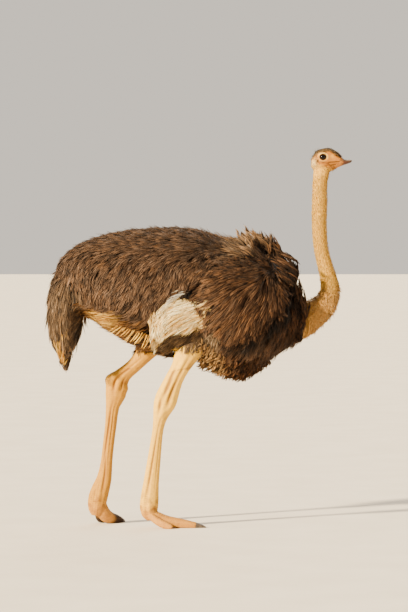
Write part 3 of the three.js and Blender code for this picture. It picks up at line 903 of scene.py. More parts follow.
def spread_out(values):
    """Values moved and stretched to run from 0.02 to 0.98."""
    low, high = np.quantile(values, (0.002, 0.998))
    return 0.02 + 0.96 * np.clip((values - low) / (high - low), 0.0, 1.0)


def wrap_spots(roots):
    """Where each root lies on the body's skin unrolled about its long axis."""
    angle = np.arctan2(roots[:, 1], roots[:, 2] - 1.05)
    return np.stack([spread_out(roots[:, 0]), spread_out(angle)], -1)


def ring_spots(roots, centre):
    """Where each root lies on an upright part's skin unrolled about its axis."""
    angle = np.arctan2(roots[:, 1] - centre[1], roots[:, 0] - centre[0])
    return np.stack([spread_out(angle), spread_out(roots[:, 2])], -1)


# ---- Lie of the coat -------------------------------------------------------------------------------
def lie(points, normals):
    """The way the body's plumes point: back along the top, down the flanks, out from the shoulder."""
    x, y, z = points.T
    slope = np.radians(12.0 + 52.0 * ramp(z, 1.34, 1.16) + 22.0 * ramp(x, -0.44, -0.56))
    flow = np.stack([-np.cos(slope), 0.0 * x, -np.sin(slope)], -1)
    flow = blend_rows(flow, wing_lie(x, z), ramp(within(points, WING), -0.03, 0.01) * (x < 0.42))
    breast = np.stack([-0.3 - 0.5 * ramp(z, 1.0, 0.85), 0.0 * x, -0.9 + 0.0 * x], -1)
    flow = blend_rows(flow, breast, ramp(x, 0.34, 0.38) * ramp(z, 1.06, 1.0))
    belly = np.stack([-0.95 + 0.0 * x, 0.0 * x, -0.2 - 0.5 * ramp(x, -0.36, -0.25)], -1)
    flow = blend_rows(flow, belly, ramp(flank_edge(x) - z, 0.0, 0.02) * ramp(x, 0.05, -0.05))
    ruff = np.stack([-0.12 - 0.75 * ramp(x, 0.36, 0.2), 0.5 * y, 0.9 + 0.0 * x], -1)
    flow = np.where(rises(x, z)[:, None], ruff, flow)
    tail = np.array([-0.06, 0.0, -1.0])
    flow = blend_rows(flow, tail, ramp(x, -0.55, -0.6) * ramp(z, 1.25, 1.12))
    sway = 0.22 * np.sin(x * 31.0 + z * 17.0 + y * 9.0) + 0.16 * np.sin(z * 47.0 - x * 23.0)
    flow = unit(flow)
    across = np.stack([-flow[:, 2], 0.0 * x, flow[:, 0]], -1)
    return unit(flow + across * sway[:, None] * 0.6)


def wing_lie(x, z):
    """The wing's long plumes leave the shoulder on all sides and droop more the farther they reach."""
    out = np.stack([x - SHOULDER[0], 0.0 * x, z - SHOULDER[1]], -1)
    reach = np.linalg.norm(out, axis=1)
    out[:, 2] -= 0.05 + 0.45 * reach**2
    out[:, 0] -= 0.13 * ramp(z, 1.08, 0.93) * ramp(x, 0.15, 0.3)
    return unit(out)


def rises(x, z):
    """Where the plumes stand up: over the shoulders and down the wing's front edge."""
    front = (x > 0.412 + 0.008 * np.sin(z * 140.0)) & (z > 1.03 + 0.02 * np.sin(x * 190.0))
    ridge = 1.262 - 0.35 * np.clip(x - 0.25, 0.0, 0.17) + 0.2 * np.clip(0.2 - x, 0.0, 1.0)
    return front | (z > ridge) & (x > 0.13)


# ---- Coat ------------------------------------------------------------------------------------------
ROOT_SPACING = 12.5 * MM
RUFF_TIPS = [
    (0.178, 1.370, 0.16), (0.219, 1.389, -0.32), (0.256, 1.372, 0.42), (0.288, 1.366, -0.12),
    (0.327, 1.355, -0.46), (0.338, 1.338, 0.5), (0.366, 1.296, 0.16), (0.398, 1.248, -0.44),
    (0.424, 1.240, 0.36), (0.440, 1.250, -0.14), (0.463, 1.143, 0.26), (0.483, 1.090, -0.2),
]
TAIL_ENDS = [
    (-0.612, 0.0, 0.731), (-0.632, -0.04, 0.752), (-0.600, 0.044, 0.758), (-0.646, 0.03, 0.79),
    (-0.588, -0.078, 0.8), (-0.650, -0.07, 0.826), (-0.604, 0.092, 0.812),
]
TAIL_STREAKS = [
    ((-0.612, 0.098, 0.920), (-0.616, 0.062, 0.800)), ((-0.650, 0.082, 0.880), (-0.641, 0.050, 0.762)),
    ((-0.636, 0.070, 0.830), (-0.634, 0.040, 0.748)), ((-0.622, 0.074, 0.800), (-0.622, 0.036, 0.735)),
]
LOCKS = 16  # pale locks on each side
LOCK_ROOTS = np.array([(-0.366, 0.214, 0.938), (-0.206, 0.212, 0.890)])  # of the first and the last
LOCK_TIPS = np.array([(-0.425, 0.160, 0.896), (-0.236, 0.156, 0.812)])
TRUNK_HALF_WIDTH = 0.252
TRUNK_TOP = (
    (0.11, 1.336), (0.2, 1.326), (0.29, 1.314), (0.365, 1.245), (0.425, 1.15), (0.475, 1.06), (0.502, 1.0),
)
BREAST_EDGE = ((0.0, 0.845), (0.05, 0.805), (0.12, 0.765), (0.20, 0.735), (0.27, 0.745), (0.32, 0.770))
WING_PLUME_REACH = 0.03  # how far the wing's plumes may pass its outline


TAIL_PLUME = Plume(length=0.13, half_width=0.016, lift=0.005, free=0.2)
RUFF_PLUME = Plume(length=0.10, half_width=0.009, lift=0.010, free=0.3, depth=0.02, taper=0.8)
WING_PLUME = Plume(length=0.15, half_width=0.012, lift=0.012, curl=0.003, depth=0.018, points=5)
DOWN_PLUME = Plume(length=0.05, half_width=0.014, curl=0.007, lift=0.006, strand_width=0.0022)
BELLY_PLUME = Plume(length=0.10, half_width=0.005, strands=9, lift=0.005, curl=0.004, lightness=0.7)
BREAST_PLUME = Plume(length=0.085, half_width=0.015, lift=0.007, curl=0.006, free=0.25)
BACK_PLUME = Plume(length=0.08, half_width=0.012, lift=0.005)
FLANK_PLUME = Plume()


def coat_regions(roots):
    """Which part of the coat each root belongs to, with the style of its plumes."""
    x, y, z = roots.T
    tail = in_tail(x, z) > 0.5
    ruff = rises(x, z)
    wing = (within(roots, WING) > 0.0) & (np.abs(y) > 0.08) & ~ruff
    fan = (within(roots, FAN) > 0.0) & (np.abs(y) > 0.1) & ~wing
    down = (within(roots, DOWN_PATCH) > 0.0) & (np.abs(y) > 0.08) & ~wing & ~fan
    belly = (z < flank_edge(x)) & (x < 0.02) & ~tail & ~down & ~fan
    breast = (x > 0.02) & ~wing & ~ruff & ~down & (z < 1.24)
    rest = ~(tail | ruff | fan | wing | down | belly | breast)
    top = rest & (z > 1.27)
    return {
        "tail": (tail, TAIL_PLUME),
        "ruff": (ruff, RUFF_PLUME),
        "wing_left": (wing & (y > 0), WING_PLUME),
        "wing_right": (wing & (y < 0), WING_PLUME),
        "down": (down, DOWN_PLUME),
        "belly": (belly, BELLY_PLUME),
        "breast": (breast, BREAST_PLUME),
        "back": (top, BACK_PLUME),
        "flank_left": (rest & ~top & (y > 0), FLANK_PLUME),
        "flank_right": (rest & ~top & (y < 0), FLANK_PLUME),
    }


def make_body_coat(envelope, blocked):
    rng = np.random.default_rng(11)
    roots, normals = envelope.scatter(ROOT_SPACING, rng)
    clear = ~np.any([part.holds(roots + normals * 2 * MM) for part in blocked], axis=0)
    on_ruff = (roots[:, 0] > 0.12) & (roots[:, 2] > np.interp(roots[:, 0], *zip(*TRUNK_TOP)) + 0.006)
    clear &= ~on_ruff
    roots, normals = roots[clear], normals[clear]
    for name, (chosen, style) in coat_regions(roots).items():
        spots = wrap_spots(roots[chosen])
        tones = body_tones(roots[chosen])
        lengths = style.length * rng.uniform(0.75, 1.2, chosen.sum())
        if style is WING_PLUME:
            rear = 0.03 * ramp(roots[chosen, 0], 0.16, 0.08) * ramp(roots[chosen, 2], 0.93, 0.97)
            lengths = np.minimum(lengths, within(roots[chosen], WING) + WING_PLUME_REACH + rear)
        line, ups = walk(envelope, roots[chosen], normals[chosen], lie, style, lengths)
        strand_mesh(f"coat_{name}", barbs(line, ups, style, tones, spots, rng))


def bowed(roots, rises, bend):
    """Middle lines of plumes that run from their roots along their rises, bowed by a bend."""
    t = np.linspace(0.0, 1.0, 5)[None, :, None]
    return roots[:, None] + rises[:, None] * t + np.array(bend) * 4.0 * t * (1.0 - t)


def bunch(root, tip, bend, copies, scatter, rng):
    """Middle lines of plumes from round a root to round a tip."""
    roots = np.array(root) + rng.normal(0.0, scatter, (copies, 3))
    tips = np.array(tip) + rng.normal(0.0, scatter * 0.22, (copies, 3))
    return bowed(roots, (tips - roots) * rng.uniform(0.5, 1.03, (copies, 1)), bend)


def make_ruff_tufts():
    """The ruff's long plumes: slender tufts that rise over the shoulders and lean back."""
    rng = np.random.default_rng(23)
    style = Plume(
        half_width=0.006, strand_width=0.0026, depth=0.0, lift=0.002, curl=0.003, taper=0.85, points=5,
    )
    lines = []
    for x, z, share in RUFF_TIPS:
        lean = 0.008 + 0.055 * ramp(x, 0.40, 0.22) - 0.035 * ramp(x, 0.42, 0.46)
        for side, drop in ((1.0, 0.0), (-1.1, 0.015)):
            y = share * TRUNK_HALF_WIDTH * side
            tip = (x - drop, y, z - drop)
            root = (x + lean, y * 0.8, z - 0.115 + 0.3 * lean)
            lines.append(bunch(root, tip, (0.012, 0.0, 0.006), 12, 0.008, rng))
    lines += [stray_plumes(50, rng), front_plumes(220, rng)]
    lines += [shoulder_plumes(60, rng), collar_plumes(150, rng)]
    line = np.concatenate(lines)
    add_free_plumes("coat_ruff_tufts", line, style, body_tones(line[:, 0]), rng)


def stray_plumes(count, rng):
    """Single plumes between the ruff's tufts, each leaning its own way."""
    x = rng.uniform(0.15, 0.50, count)
    y = rng.uniform(-0.13, 0.13, count)
    top = np.interp(x, *zip(*TRUNK_TOP)) - 0.9 * y**2
    root = np.stack([x, y, top - 0.03], -1)
    lean = -0.006 - 0.05 * ramp(x, 0.42, 0.24)
    back = lean + rng.normal(0.0, 0.012, count)
    aside = 0.1 * y + rng.normal(0, 0.01, count)
    rise = np.stack([back, aside, rng.uniform(0.025, 0.055, count)], -1)
    return bowed(root, rise, (0.012, 0.0, 0.0))


def front_plumes(count, rng):
    """Close plumes down the front of the breast, from the ruff to the neck."""
    x = rng.uniform(0.385, 0.497, count)
    y = rng.uniform(-0.12, 0.12, count)
    root = np.stack([x - 0.012, y, np.interp(x, *zip(*TRUNK_TOP)) - 1.2 * y**2 - 0.045], -1)
    rise = np.stack([rng.normal(0.002, 0.006, count), 0.1 * y, rng.uniform(0.04, 0.07, count)], -1)
    return bowed(root, rise, (0.008, 0.0, 0.0))


def collar_plumes(count, rng):
    """Plumes that hang over the foot of the neck all round its front."""
    share = rng.random(count)
    y = rng.uniform(-0.10, 0.10, count)
    root = np.stack([0.482 - 0.035 * share - 0.5 * np.abs(y) ** 1.5, y, 1.02 - 0.135 * share], -1)
    ahead = 0.012 + rng.normal(0.0, 0.008, count)
    fall = np.stack([ahead, 0.12 * y, rng.uniform(-0.055, -0.03, count)], -1)
    return bowed(root, fall, (0.009, 0.0, 0.0))


def shoulder_plumes(count, rng):
    """Plumes that cross the shoulder, where all the others start."""
    lines = []
    for side in SIDES.values():
        scatter = rng.normal(0.0, 1.0, (count, 3)) * (0.014, 0.006, 0.03)
        root = np.array([0.425, side * 0.15, 1.165]) + scatter
        rise = np.array([-0.085, side * 0.012, 0.055]) * rng.uniform(0.6, 1.2, (count, 1))
        rise += rng.normal(0.0, 0.009, (count, 3))
        lines.append(bowed(root, rise, (0.0, side * 0.014, 0.008)))
    return np.concatenate(lines)


def make_fringe(envelope):
    """Hooked plumes along the lower edge of the breast: tan towards the legs, brown in front."""
    rng = np.random.default_rng(61)
    style = Plume(
        half_width=0.004, strands=9, strand_width=0.0024, depth=0.0, lift=0.002, curl=0.002, points=5,
    )
    roots, normals = envelope.scatter(0.0085, rng)
    x, y, z = roots.T
    low = np.interp(x, *zip(*BREAST_EDGE))
    chosen = (x > 0.0) & (x < 0.32) & (z < low + 0.25 * np.abs(y)) & (np.abs(y) < 0.2)
    chosen &= rng.random(len(x)) < 0.5
    roots, normals = roots[chosen], normals[chosen]
    each = (len(roots), 1, 1)
    steps = 6
    t = np.linspace(0.0, 1.0, steps + 1)[None, :, None]
    length = rng.uniform(0.018, 0.042, each) * (1.2 - ramp(roots[:, 0], 0.1, 0.3).reshape(each) * 0.5)
    start = -50.0 + rng.normal(0.0, 14.0, each)
    turn = np.radians(start - rng.uniform(70.0, 170.0, each) * t)
    step = np.concatenate([np.cos(turn), 0.0 * turn, np.sin(turn)], -1) * length / steps
    line = roots[:, None] + np.cumsum(step, axis=1) + normals[:, None] * 0.008 * np.sqrt(t)
    pale = ramp(roots[:, 0], 0.15, 0.07) * 0.85
    # In front the fringe takes the breast's darkened tone, which carries painted shade, made half as light
    # again.
    tones = painted(even_tones(np.array(SHADED_BREAST_TONE) * 1.5, len(line)), [(FRINGE_TONE, pale)])
    add_free_plumes("coat_fringe", line, style, tones, rng)


def make_belly_locks():
    """Pale locks that hang in a row of stripes over the dark hind belly."""
    rng = np.random.default_rng(37)
    style = Plume(half_width=0.0016, strands=8, strand_width=0.0020, depth=0.0, lift=0.003, lightness=0.9)
    lines = []
    for side in SIDES.values():
        for share in np.linspace(0.0, 1.0, LOCKS) + rng.normal(0.0, 0.014, LOCKS):
            root, tip = (first * (1.0 - share) + last * share for first, last in (LOCK_ROOTS, LOCK_TIPS))
            root, tip = root * (1, side, 1), tip * (1, side, 1) + rng.normal(0.0, 0.005, 3) * (1, 0, 1)
            lines.append(bunch(root, tip, (0.002, side * 0.014, 0.0), 5, 0.0016, rng))
    line = np.concatenate(lines)
    add_free_plumes("coat_belly_locks", line, style, even_tones(CREAM_TONE, len(line)), rng)


def make_thigh_down(legs):
    """Soft plumes over the top of each leg."""
    rng = np.random.default_rng(53)
    style = Plume(length=0.05, half_width=0.010, strands=12, strand_width=0.0022, depth=0.002,
                  lift=0.006, curl=0.006, free=0.15)
    roots, normals = legs.scatter(0.0095, rng)
    chosen = roots[:, 2] > thigh_edge(roots) + 0.012
    roots, normals = roots[chosen], normals[chosen]
    # Painted shade: the far thigh's down takes the darker belly tone, the near one the grey down.
    near = (roots[:, 1] < 0.0)[:, None]
    tones = [np.where(near, DOWN_TONE[i], BELLY_TONE[i]) for i in range(2)]
    lengths = style.length * rng.uniform(0.7, 1.2, len(roots))
    line, ups = walk(legs, roots, normals, thigh_lie, style, lengths)
    strand_mesh("coat_thighs", barbs(line, ups, style, tones, wrap_spots(roots), rng))


def thigh_lie(points, normals):
    return np.tile([-0.35, 0.0, -0.94], (len(points), 1))


def make_tail_ends():
    """The ragged ends of the tail, with pale strands near its middle."""
    rng = np.random.default_rng(29)
    style = Plume(half_width=0.014, strands=16, depth=0.0, lift=0.002, curl=0.004, lightness=0.6)
    ends = []
    for x, y, z in TAIL_ENDS:
        root = (x * 0.5 - 0.3, y * 0.8, z + 0.17)
        ends.append(bunch(root, (x, y, z), (-0.012, 0.0, 0.0), 30, 0.018, rng))
    line = np.concatenate(ends)
    add_free_plumes("coat_tail_ends", line, style, even_tones(TAIL_TONE, len(line)), rng)
    thin = Plume(
        half_width=0.004, strands=5, strand_width=0.0022, depth=0.0, lift=0.003, curl=0.003, lightness=0.8,
    )
    streaks = []
    for side in SIDES.values():
        for root, tip in TAIL_STREAKS:
            root, tip = np.array(root) * (1, side, 1), np.array(tip) * (1, side, 1)
            streaks.append(bunch(root, tip, (-0.004, side * 0.014, 0.0), 8, 0.011, rng))
    line = np.concatenate(streaks)
    add_free_plumes("coat_tail_streaks", line, thin, even_tones(CREAM_TONE, len(line)), rng)


def add_free_plumes(name, line, style, tones, rng):
    along = unit(np.gradient(line, axis=1))
    outward = np.stack([np.zeros(len(line)), np.sign(line[:, 0, 1] + 1e-6), np.full(len(line), 0.3)], -1)
    ups = unit(outward[:, None] - along * (outward[:, None] * along).sum(-1, keepdims=True))
    strand_mesh(name, barbs(line, ups, style, tones, wrap_spots(line[:, 0]), rng))


def fan_lie(points, normals):
    """The white wing plumes sweep back, then droop."""
    x, y, z = points.T
    swing = np.radians(16.0 + 14.0 * ramp(z, 1.03, 0.93) + 52.0 * ramp(x, -0.10, -0.21))
    return np.stack([-np.cos(swing), 0.0 * x, -np.sin(swing)], -1)


def make_primaries(envelope):
    """White plumes that show under the wing's rear edge."""
    style = Plume(length=0.12, half_width=0.006, strands=12, strand_width=0.003, depth=0.004,
                  lift=0.008, curl=0.004, points=5, lightness=0.85)
    for side, sign in SIDES.items():
        rng = np.random.default_rng(31)
        roots, normals = envelope.scatter(7 * MM, rng)
        chosen = (within(roots, FAN) > 0.0) & (roots[:, 1] * sign > 0.1)
        roots, normals = roots[chosen], normals[chosen]
        forward = 0.35 + 0.65 * ramp(roots[:, 0], -0.2, -0.08)
        lengths = style.length * rng.uniform(0.6, 1.1, len(roots)) * forward
        line, ups = walk(envelope, roots, normals, fan_lie, style, np.maximum(lengths, 0.05))
        cream = rng.random(len(roots)) ** 2 * ramp(roots[:, 2], 1.04, 1.0)
        tones = [blend_rows(WHITE_TONE[i], CREAM_TONE[i], cream) for i in range(2)]
        strand_mesh(f"coat_primaries_{side}", barbs(line, ups, style, tones, wrap_spots(roots), rng))


def make_fan_wisps(envelope):
    """Thin white strands that lie over the flank above the white plumes."""
    rng = np.random.default_rng(67)
    style = Plume(length=0.07, half_width=0.005, strands=6, strand_width=0.0016, depth=0.0, lift=0.022,
                  curl=0.004, lightness=1.0)
    count = 24
    share = rng.random((2 * count, 1))
    guess = np.array([-0.06, 0.24, 1.090]) * (1.0 - share) + np.array([-0.145, 0.24, 1.035]) * share
    guess[:, 1] *= np.repeat(list(SIDES.values()), count)
    roots, normals = envelope.snap(guess + rng.normal(0.0, 0.008, guess.shape) * (1.0, 0.0, 1.0))
    lengths = style.length * rng.uniform(0.5, 1.1, len(roots))
    line, ups = walk(envelope, roots, normals, fan_lie, style, lengths)
    tones = even_tones(WISP_TONE, len(roots))
    strand_mesh("coat_wisps", barbs(line, ups, style, tones, wrap_spots(roots), rng))


def down_lie(points, normals):
    """Down on the neck points down it, and on the head back over it."""
    x, y, z = points.T
    head = ramp(z, 1.67, 1.70)[:, None]
    return unit(np.array([0.0, 0.0, -1.0]) * (1.0 - head) + np.array([-1.0, 0.0, 0.25]) * head)


def make_neck_coat(neck):
    """Short down on the neck, thicker and darker where it enters the plumage."""
    rng = np.random.default_rng(41)
    lower = Plume(length=0.022, half_width=0.006, strands=6, strand_width=0.0016, depth=0.003,
                  lift=0.004, curl=0.003)
    upper = Plume(length=0.011, half_width=0.003, strands=4, strand_width=0.0009, depth=0.001,
                  lift=0.0018, curl=0.0006, points=3, lightness=0.7)
    parts = (("low", lower, 0.0066, 0.86, 1.15), ("high", upper, 0.0036, 1.1, 1.66))
    for name, style, spacing, low, high in parts:
        roots, normals = neck.scatter(spacing, rng)
        fade = rng.uniform(-0.025, 0.025, len(roots))
        chosen = (roots[:, 2] + fade > low) & (roots[:, 2] + fade < high) & (roots[:, 0] > 0.36)
        roots, normals = roots[chosen], normals[chosen]
        lengths = style.length * rng.uniform(0.7, 1.3, len(roots))
        line, ups = walk(neck, roots, normals, down_lie, style, lengths)
        dark, light = bare_tones(roots)
        dark = blend_rows(dark, light, 0.5)
        strands = barbs(line, ups, style, [dark, light], ring_spots(roots, (0.56, 0.0)), rng)
        strand_mesh(f"coat_neck_{name}", strands)


def make_head_bristles(head):
    """Fuzz on the crown and nape, tufts round the ears and wisps under the throat."""
    rng = np.random.default_rng(43)
    style = Plume(length=0.012, half_width=0.0022, strands=4, strand_width=0.0007, depth=0.0005,
                  lift=0.0035, curl=0.0012, points=3, lightness=0.55)
    roots, normals = head.scatter(0.0022, rng)
    x, y, z = roots.T
    crown = on_crown(x, z + 0.004)
    nape = ramp(x, 0.55, 0.53) * ramp(z, 1.65, 1.67)
    throat = ramp(z, 1.668, 1.655) * ramp(x, 0.575, 0.59) * ramp(x, 0.64, 0.62)
    ears = bump(x - EAR_HOLE[0], 0.008) * bump(z - EAR_HOLE[2], 0.009)
    share = np.clip(crown + nape + 0.5 * throat + ears, 0.0, 1.0)
    chosen = (rng.random(len(roots)) < share * 0.8) & (z > 1.6)
    roots, normals = roots[chosen], normals[chosen]
    low_down = 1.0 - 0.45 * ramp(roots[:, 2], 1.70, 1.69)
    lengths = style.length * rng.uniform(0.6, 1.2, len(roots)) * low_down
    line, ups = walk(head, roots, normals, down_lie, style, lengths)
    strands = barbs(line, ups, style, bare_tones(roots), ring_spots(roots, (0.58, 0.0)), rng)
    strand_mesh("coat_head", strands)


def make_lashes():
    """Long dark lashes along the upper lids."""
    rng = np.random.default_rng(47)
    lines = []
    for side, sign in SIDES.items():
        angle = np.radians(np.linspace(20.0, 160.0, 26))
        eye = eye_centre(side)
        rim = np.stack([np.cos(angle) * 0.0142, 0.0 * angle, np.sin(angle) * 0.0112], -1)
        rim = turned(rim, EYE_TILT) + eye + np.array([0.0, sign * 0.0165, 0.0])
        out = np.stack([np.cos(angle) * 0.3, 0.0 * angle + sign, 0.1 + 0.2 * np.sin(angle)], -1)
        t = np.linspace(0.0, 1.0, 4)[None, :, None]
        sag = np.array([0.0, 0.0, -0.003]) * t**2
        lines.append(rim[:, None] + unit(out)[:, None] * t * 0.009 + sag)
    spines = np.concatenate(lines)
    wides = np.zeros_like(spines)
    wides[..., 0] = 0.00035 * np.array(PROFILES[4])
    tint = np.tile(paint(38, 28, 22), (len(spines), 4, 1)) * rng.uniform(0.8, 1.3, (len(spines), 1, 1))
    spots = np.stack([spread_out(spines[:, 0, 0]), spread_out(spines[:, 0, 1])], -1)
    strand_mesh("lashes", Strands(spines, wides, tint, spots))


# ---- Eyes, bill and nails --------------------------------------------------------------------------
BEHIND_IRIS = 0.02  # distance from the eye's axis that counts as outside the iris
NOSTRIL = (0.652, 0.0255, 1.6915)
NOSTRIL_SIZE = (8.0 * MM, 4.5 * MM, 1.5 * MM)
NOSTRIL_SLOPE = -14.0


def make_eyes():
    for side, sign in SIDES.items():
        centre = eye_centre(side)
        eye = put_in_order(ball(f"eyeball_{side}", centre, (EYE_RADIUS,) * 3, detail=72))
        co = places_of(eye) - centre
        off_axis = np.hypot(co[:, 0], co[:, 2])
        cornea = bump(off_axis, 0.010) * 0.0014 * (co[:, 1] * sign > 0.0)
        set_places(eye, co + centre + np.array([0.0, sign, 0.0]) * cornea[:, None])
        set_values(eye, "off_axis", np.where(co[:, 1] * sign > 0, off_axis, BEHIND_IRIS))
        finish_piece(eye, "eye", [f"eye_{side}"])


def make_bill():
    """Both halves of the bill, each run back under the face's skin."""
    for part in ("upper", "lower"):
        horn = organic(f"bill_horn_{part}", [f"bill_{part}"], HORN_VOXEL, 6)
        if part == "upper":
            for sign in SIDES.values():
                place = np.array(NOSTRIL) * (1.0, sign, 1.0)
                combine(horn, ball("nostril", place, NOSTRIL_SIZE, NOSTRIL_SLOPE), "DIFFERENCE")
            put_in_order(horn)
            co, normals = places_of(horn), normals_of(horn)
            culmen = bump(co[:, 1], 0.006) * ramp(normals[:, 2], 0.2, 0.7) * 0.7
            nail = ramp(co[:, 0], 0.682, 0.688) * 0.6
            swell(horn, (culmen + nail) * MM)
        finish_piece(horn, "bill", [f"bill_{part}"])


def make_nails():
    for side in SIDES:
        nail = organic(f"claw_{side}", [f"nail_{side}"], HORN_VOXEL, 4)
        finish_piece(nail, "nail", [f"nail_{side}"])


def finish_piece(piece, material, nodes):
    piece.data.materials.clear()
    piece.data.materials.append(MATERIALS[material])
    smooth_shade(piece)
    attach(piece, "root")
    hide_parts(*nodes)


# ---- Materials -------------------------------------------------------------------------------------
MATERIALS = {}


class Shading:
    """A material under construction: its nodes are made with one call each."""

    def __init__(self, name, roughness, **sockets):
        self.material = bpy.data.materials.new(name)
        self.material.use_nodes = True
        self.tree = self.material.node_tree
        self.surface = self.tree.nodes["Principled BSDF"]
        self.surface.inputs["Roughness"].default_value = roughness
        for socket, value in sockets.items():
            self.surface.inputs[socket.replace("_", " ")].default_value = value
        MATERIALS[name] = self.material

    def node(self, kind, inputs=None, **settings):
        node = self.tree.nodes.new(f"ShaderNode{kind}")
        for key, value in settings.items():
            setattr(node, key, value)
        for socket, value in (inputs or {}).items():
            if isinstance(value, bpy.types.NodeSocket):
                self.tree.links.new(value, node.inputs[socket])
            else:
                node.inputs[socket].default_value = value
        return node

    def attribute(self, name):
        return self.node("Attribute", attribute_name=name)

    def noise(self, scale, detail=4.0, stretch=(1.0, 1.0, 1.0)):
        place = self.node("TexCoord").outputs["Object"]
        mapped = self.node("Mapping", {"Vector": place, "Scale": stretch}).outputs["Vector"]
        return self.node("TexNoise", {"Vector": mapped, "Scale": scale, "Detail": detail}).outputs["Fac"]

    def scales(self, size):
        place = self.node("TexCoord").outputs["Object"]
        cells = self.node("TexVoronoi", {"Vector": place, "Scale": 1.0 / size}, feature="DISTANCE_TO_EDGE")
        return cells.outputs["Distance"]

    def stops(self, value, *stops):
        """A colour ramp. Each stop is a place and a colour."""
        ramp_node = self.node("ValToRGB", {"Fac": value})
        elements = ramp_node.color_ramp.elements
        while len(elements) < len(stops):
            elements.new(0.5)
        for element, (place, colour) in zip(elements, stops):
            element.position = place
            element.color = (*colour, 1.0)
        return ramp_node.outputs["Color"]

    def mix(self, base, top, share, kind="MIX"):
        node = self.node("Mix", data_type="RGBA", blend_type=kind)
        for index, value in ((0, share), (6, base), (7, top)):
            if isinstance(value, bpy.types.NodeSocket):
                self.tree.links.new(value, node.inputs[index])
            elif index:
                node.inputs[index].default_value = (*value, 1.0)
            else:
                node.inputs[index].default_value = value
        return node.outputs[2]

    def maths(self, operation, *values):
        return self.node("Math", dict(enumerate(values)), operation=operation).outputs[0]

    def colour(self, socket):
        self.tree.links.new(socket, self.surface.inputs["Base Color"])

    def bump(self, height, distance, strength=1.0):
        node = self.node("Bump", {"Height": height, "Distance": distance, "Strength": strength})
        self.tree.links.new(node.outputs["Normal"], self.surface.inputs["Normal"])


GREY_LOW = (0.72, 0.7, 0.68)
WHITE = (1.0, 1.0, 1.0)


def make_materials():
    plume = Shading("plume", 0.65, Sheen_Weight=0.04, Specular_IOR_Level=0.14)
    streak = plume.stops(plume.noise(220.0, stretch=(1.0, 1.0, 0.5)), (0.3, GREY_LOW), (0.7, WHITE))
    plume.colour(plume.mix(plume.attribute("coat").outputs["Color"], streak, 1.0, "MULTIPLY"))
    plume.bump(plume.noise(900.0), 0.0004, 0.5)

    skin = Shading("skin", 0.62, Specular_IOR_Level=0.18)
    mottle = skin.stops(skin.noise(70.0, 6.0), (0.25, (0.78, 0.72, 0.66)), (0.75, WHITE))
    base = skin.mix(skin.attribute("coat").outputs["Color"], mottle, 1.0, "MULTIPLY")
    crease_shade = skin.attribute("crease_shade").outputs["Fac"]
    # Painted shade: the skin darkens to brown in the creases between plates and in the hollows between
    # sinews.
    base = skin.mix(base, paint(104, 58, 22), skin.maths("MULTIPLY", crease_shade, 0.75))
    scaly = skin.attribute("scaly").outputs["Fac"]
    cells = skin.maths("MINIMUM", skin.scales(0.0042), 0.2)
    grooves = skin.stops(cells, (0.0, (0.72, 0.62, 0.52)), (0.12, WHITE))
    skin.colour(skin.mix(base, skin.mix(base, grooves, 1.0, "MULTIPLY"), scaly))
    relief = skin.maths("MULTIPLY", cells, scaly)
    relief = skin.maths("ADD", relief, skin.maths("MULTIPLY", skin.noise(900.0), 0.25))
    skin.bump(relief, 0.0016, 0.8)

    eye = Shading("eye", 0.05, Specular_IOR_Level=0.16)
    ring = eye.maths("DIVIDE", eye.attribute("off_axis").outputs["Fac"], BEHIND_IRIS)
    spokes = eye.maths("MULTIPLY", eye.noise(600.0), 0.06)
    eye.colour(eye.stops(
        eye.maths("ADD", ring, spokes),
        (0.0, paint(3, 3, 3)), (0.36, paint(4, 3, 3)), (0.40, paint(36, 20, 12)),
        (0.6, paint(28, 16, 10)), (0.72, paint(8, 5, 4)),
    ))

    bill = Shading("bill", 0.5, Specular_IOR_Level=0.35)
    along = bill.maths("MULTIPLY", bill.maths("SUBTRACT", object_axis(bill, 0), 0.62), 10.0)
    grain = bill.maths("MULTIPLY", bill.maths("SUBTRACT", bill.noise(160.0, stretch=(0.3, 1, 1)), 0.5), 0.4)
    above = bill.maths("MULTIPLY", bill.maths("SUBTRACT", object_axis(bill, 2), 1.682), 90.0)
    run = bill.maths("ADD", along, grain)
    upper = bill.stops(
        run,
        (0.24, paint(168, 108, 40)), (0.34, paint(90, 60, 34)), (0.48, paint(70, 54, 40)),
        (0.68, paint(106, 82, 62)), (0.82, paint(62, 40, 28)),
    )
    # The lower half is a darker brown, darkest at its tip with painted shade.
    lower = bill.stops(
        run, (0.24, paint(168, 106, 38)), (0.42, paint(76, 38, 20)), (0.8, paint(48, 24, 16)),
    )
    bill.colour(bill.mix(lower, upper, bill.stops(above, (0.1, (0, 0, 0)), (0.5, WHITE))))
    bill.bump(bill.noise(500.0, stretch=(0.3, 1, 1)), 0.0005, 0.6)

    nail = Shading("nail", 0.42)
    nail.colour(nail.stops(nail.noise(120.0), (0.3, paint(52, 44, 38)), (0.7, paint(96, 82, 70))))
    nail.bump(nail.noise(400.0, stretch=(0.4, 0.4, 1)), 0.0006, 0.6)

    ground = Shading("ground", 0.9)
    ground.colour(ground.stops(ground.noise(3.0), (0.3, paint(226, 214, 196)), (0.7, paint(234, 223, 206))))


def object_axis(shading, axis):
    place = shading.node("TexCoord").outputs["Object"]
    return shading.node("SeparateXYZ", {"Vector": place}).outputs[axis]


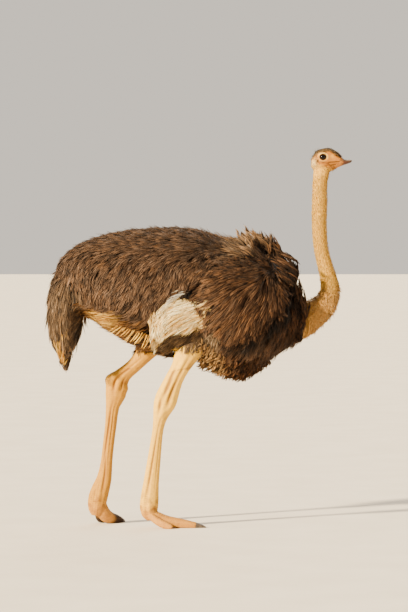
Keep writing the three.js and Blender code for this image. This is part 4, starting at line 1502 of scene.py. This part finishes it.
def dress_skin(skin):
    """Gives the skin its markings, painted shade under the plumage, in the creases between its plates and
    in the hollows of its legs, and where it is scaly.
    """
    co, normals = places_of(skin), normals_of(skin)
    behind_neck = 0.455 + 0.045 * ramp(co[:, 2], 0.965, 1.0)
    plumed_here = ramp(co[:, 0], behind_neck, behind_neck - 0.02) * ramp(co[:, 2], 0.86, 0.9)
    on_thigh = ramp(co[:, 2] - thigh_edge(co), -0.006, 0.004) * (co[:, 0] < 0.36)
    body = np.clip(ramp(np.abs(co[:, 1]), 0.16, 0.19) + plumed_here + on_thigh, 0.0, 1.0)
    body_dark, body_light = body_tones(co)
    bare_dark, bare_light = bare_tones(co)
    # Painted shade: skin under the plumage and at the neck's root is darker than the plumes' roots, so gaps
    # in the coat read as shadow.
    shade_under_plumes = body_dark * 0.75 + body_light * 0.1
    bare = bare_dark * 0.35 + bare_light * 0.65
    set_colour(skin.data, "coat", blend_rows(bare, shade_under_plumes, body))
    # Painted shade in the creases between the plates and in the hollows between the sinews of each leg.
    crease_shade = np.zeros(len(co))
    for side, sign in SIDES.items():
        own = (co[:, 1] * sign > 0.03 - 0.06 * (side == "right")) & (co[:, 2] < 0.86)
        crease_shade[own] = 0.6 * scute_relief(co[own], normals[own], side)[1]
        crease_shade[own] += np.clip(-sinews(co[own], side) / (3.5 * MM), 0.0, 1.0)
    scaly = ramp(co[:, 2], 0.56, 0.48) * (1.0 - np.clip(crease_shade * 1.5, 0.0, 1.0))
    set_values(skin, "crease_shade", crease_shade)
    set_values(skin, "scaly", scaly)
    skin.data.materials.clear()
    skin.data.materials.append(MATERIALS["skin"])


def make_floor():
    bm = bmesh.new()
    bmesh.ops.create_grid(bm, x_segments=1, y_segments=1, size=FLOOR_REACH)
    floor = piece_from("floor", bm)
    floor.data.materials.append(MATERIALS["ground"])


def surface_of(name, nodes, voxel, smoothing):
    """The smooth outer surface of some CAD nodes, kept only to grow plumes on."""
    piece = organic(name, nodes, voxel, smoothing)
    surface = Surface(piece)
    bpy.data.objects.remove(piece)
    return surface


def main():
    make_camera()
    make_lights()
    make_materials()
    make_floor()
    skin = make_skin()
    dress_skin(skin)
    make_eyes()
    make_bill()
    make_nails()
    neck = surface_of("neck", ["neck_upper", "neck_middle", "neck_lower", "head"], 3 * MM, 6)
    legs = surface_of("legs", ["shank_left", "shank_right"], 6 * MM, 2)
    body_nodes = ["trunk", "tail", "wing_left", "wing_right", "primaries_left", "primaries_right"]
    envelope = surface_of("envelope", body_nodes, 8 * MM, 8)
    make_body_coat(envelope, [neck, legs])
    make_belly_locks()
    make_fringe(envelope)
    make_thigh_down(legs)
    make_ruff_tufts()
    make_tail_ends()
    make_primaries(envelope)
    make_fan_wisps(envelope)
    make_neck_coat(neck)
    make_head_bristles(Surface(skin))
    make_lashes()


main()
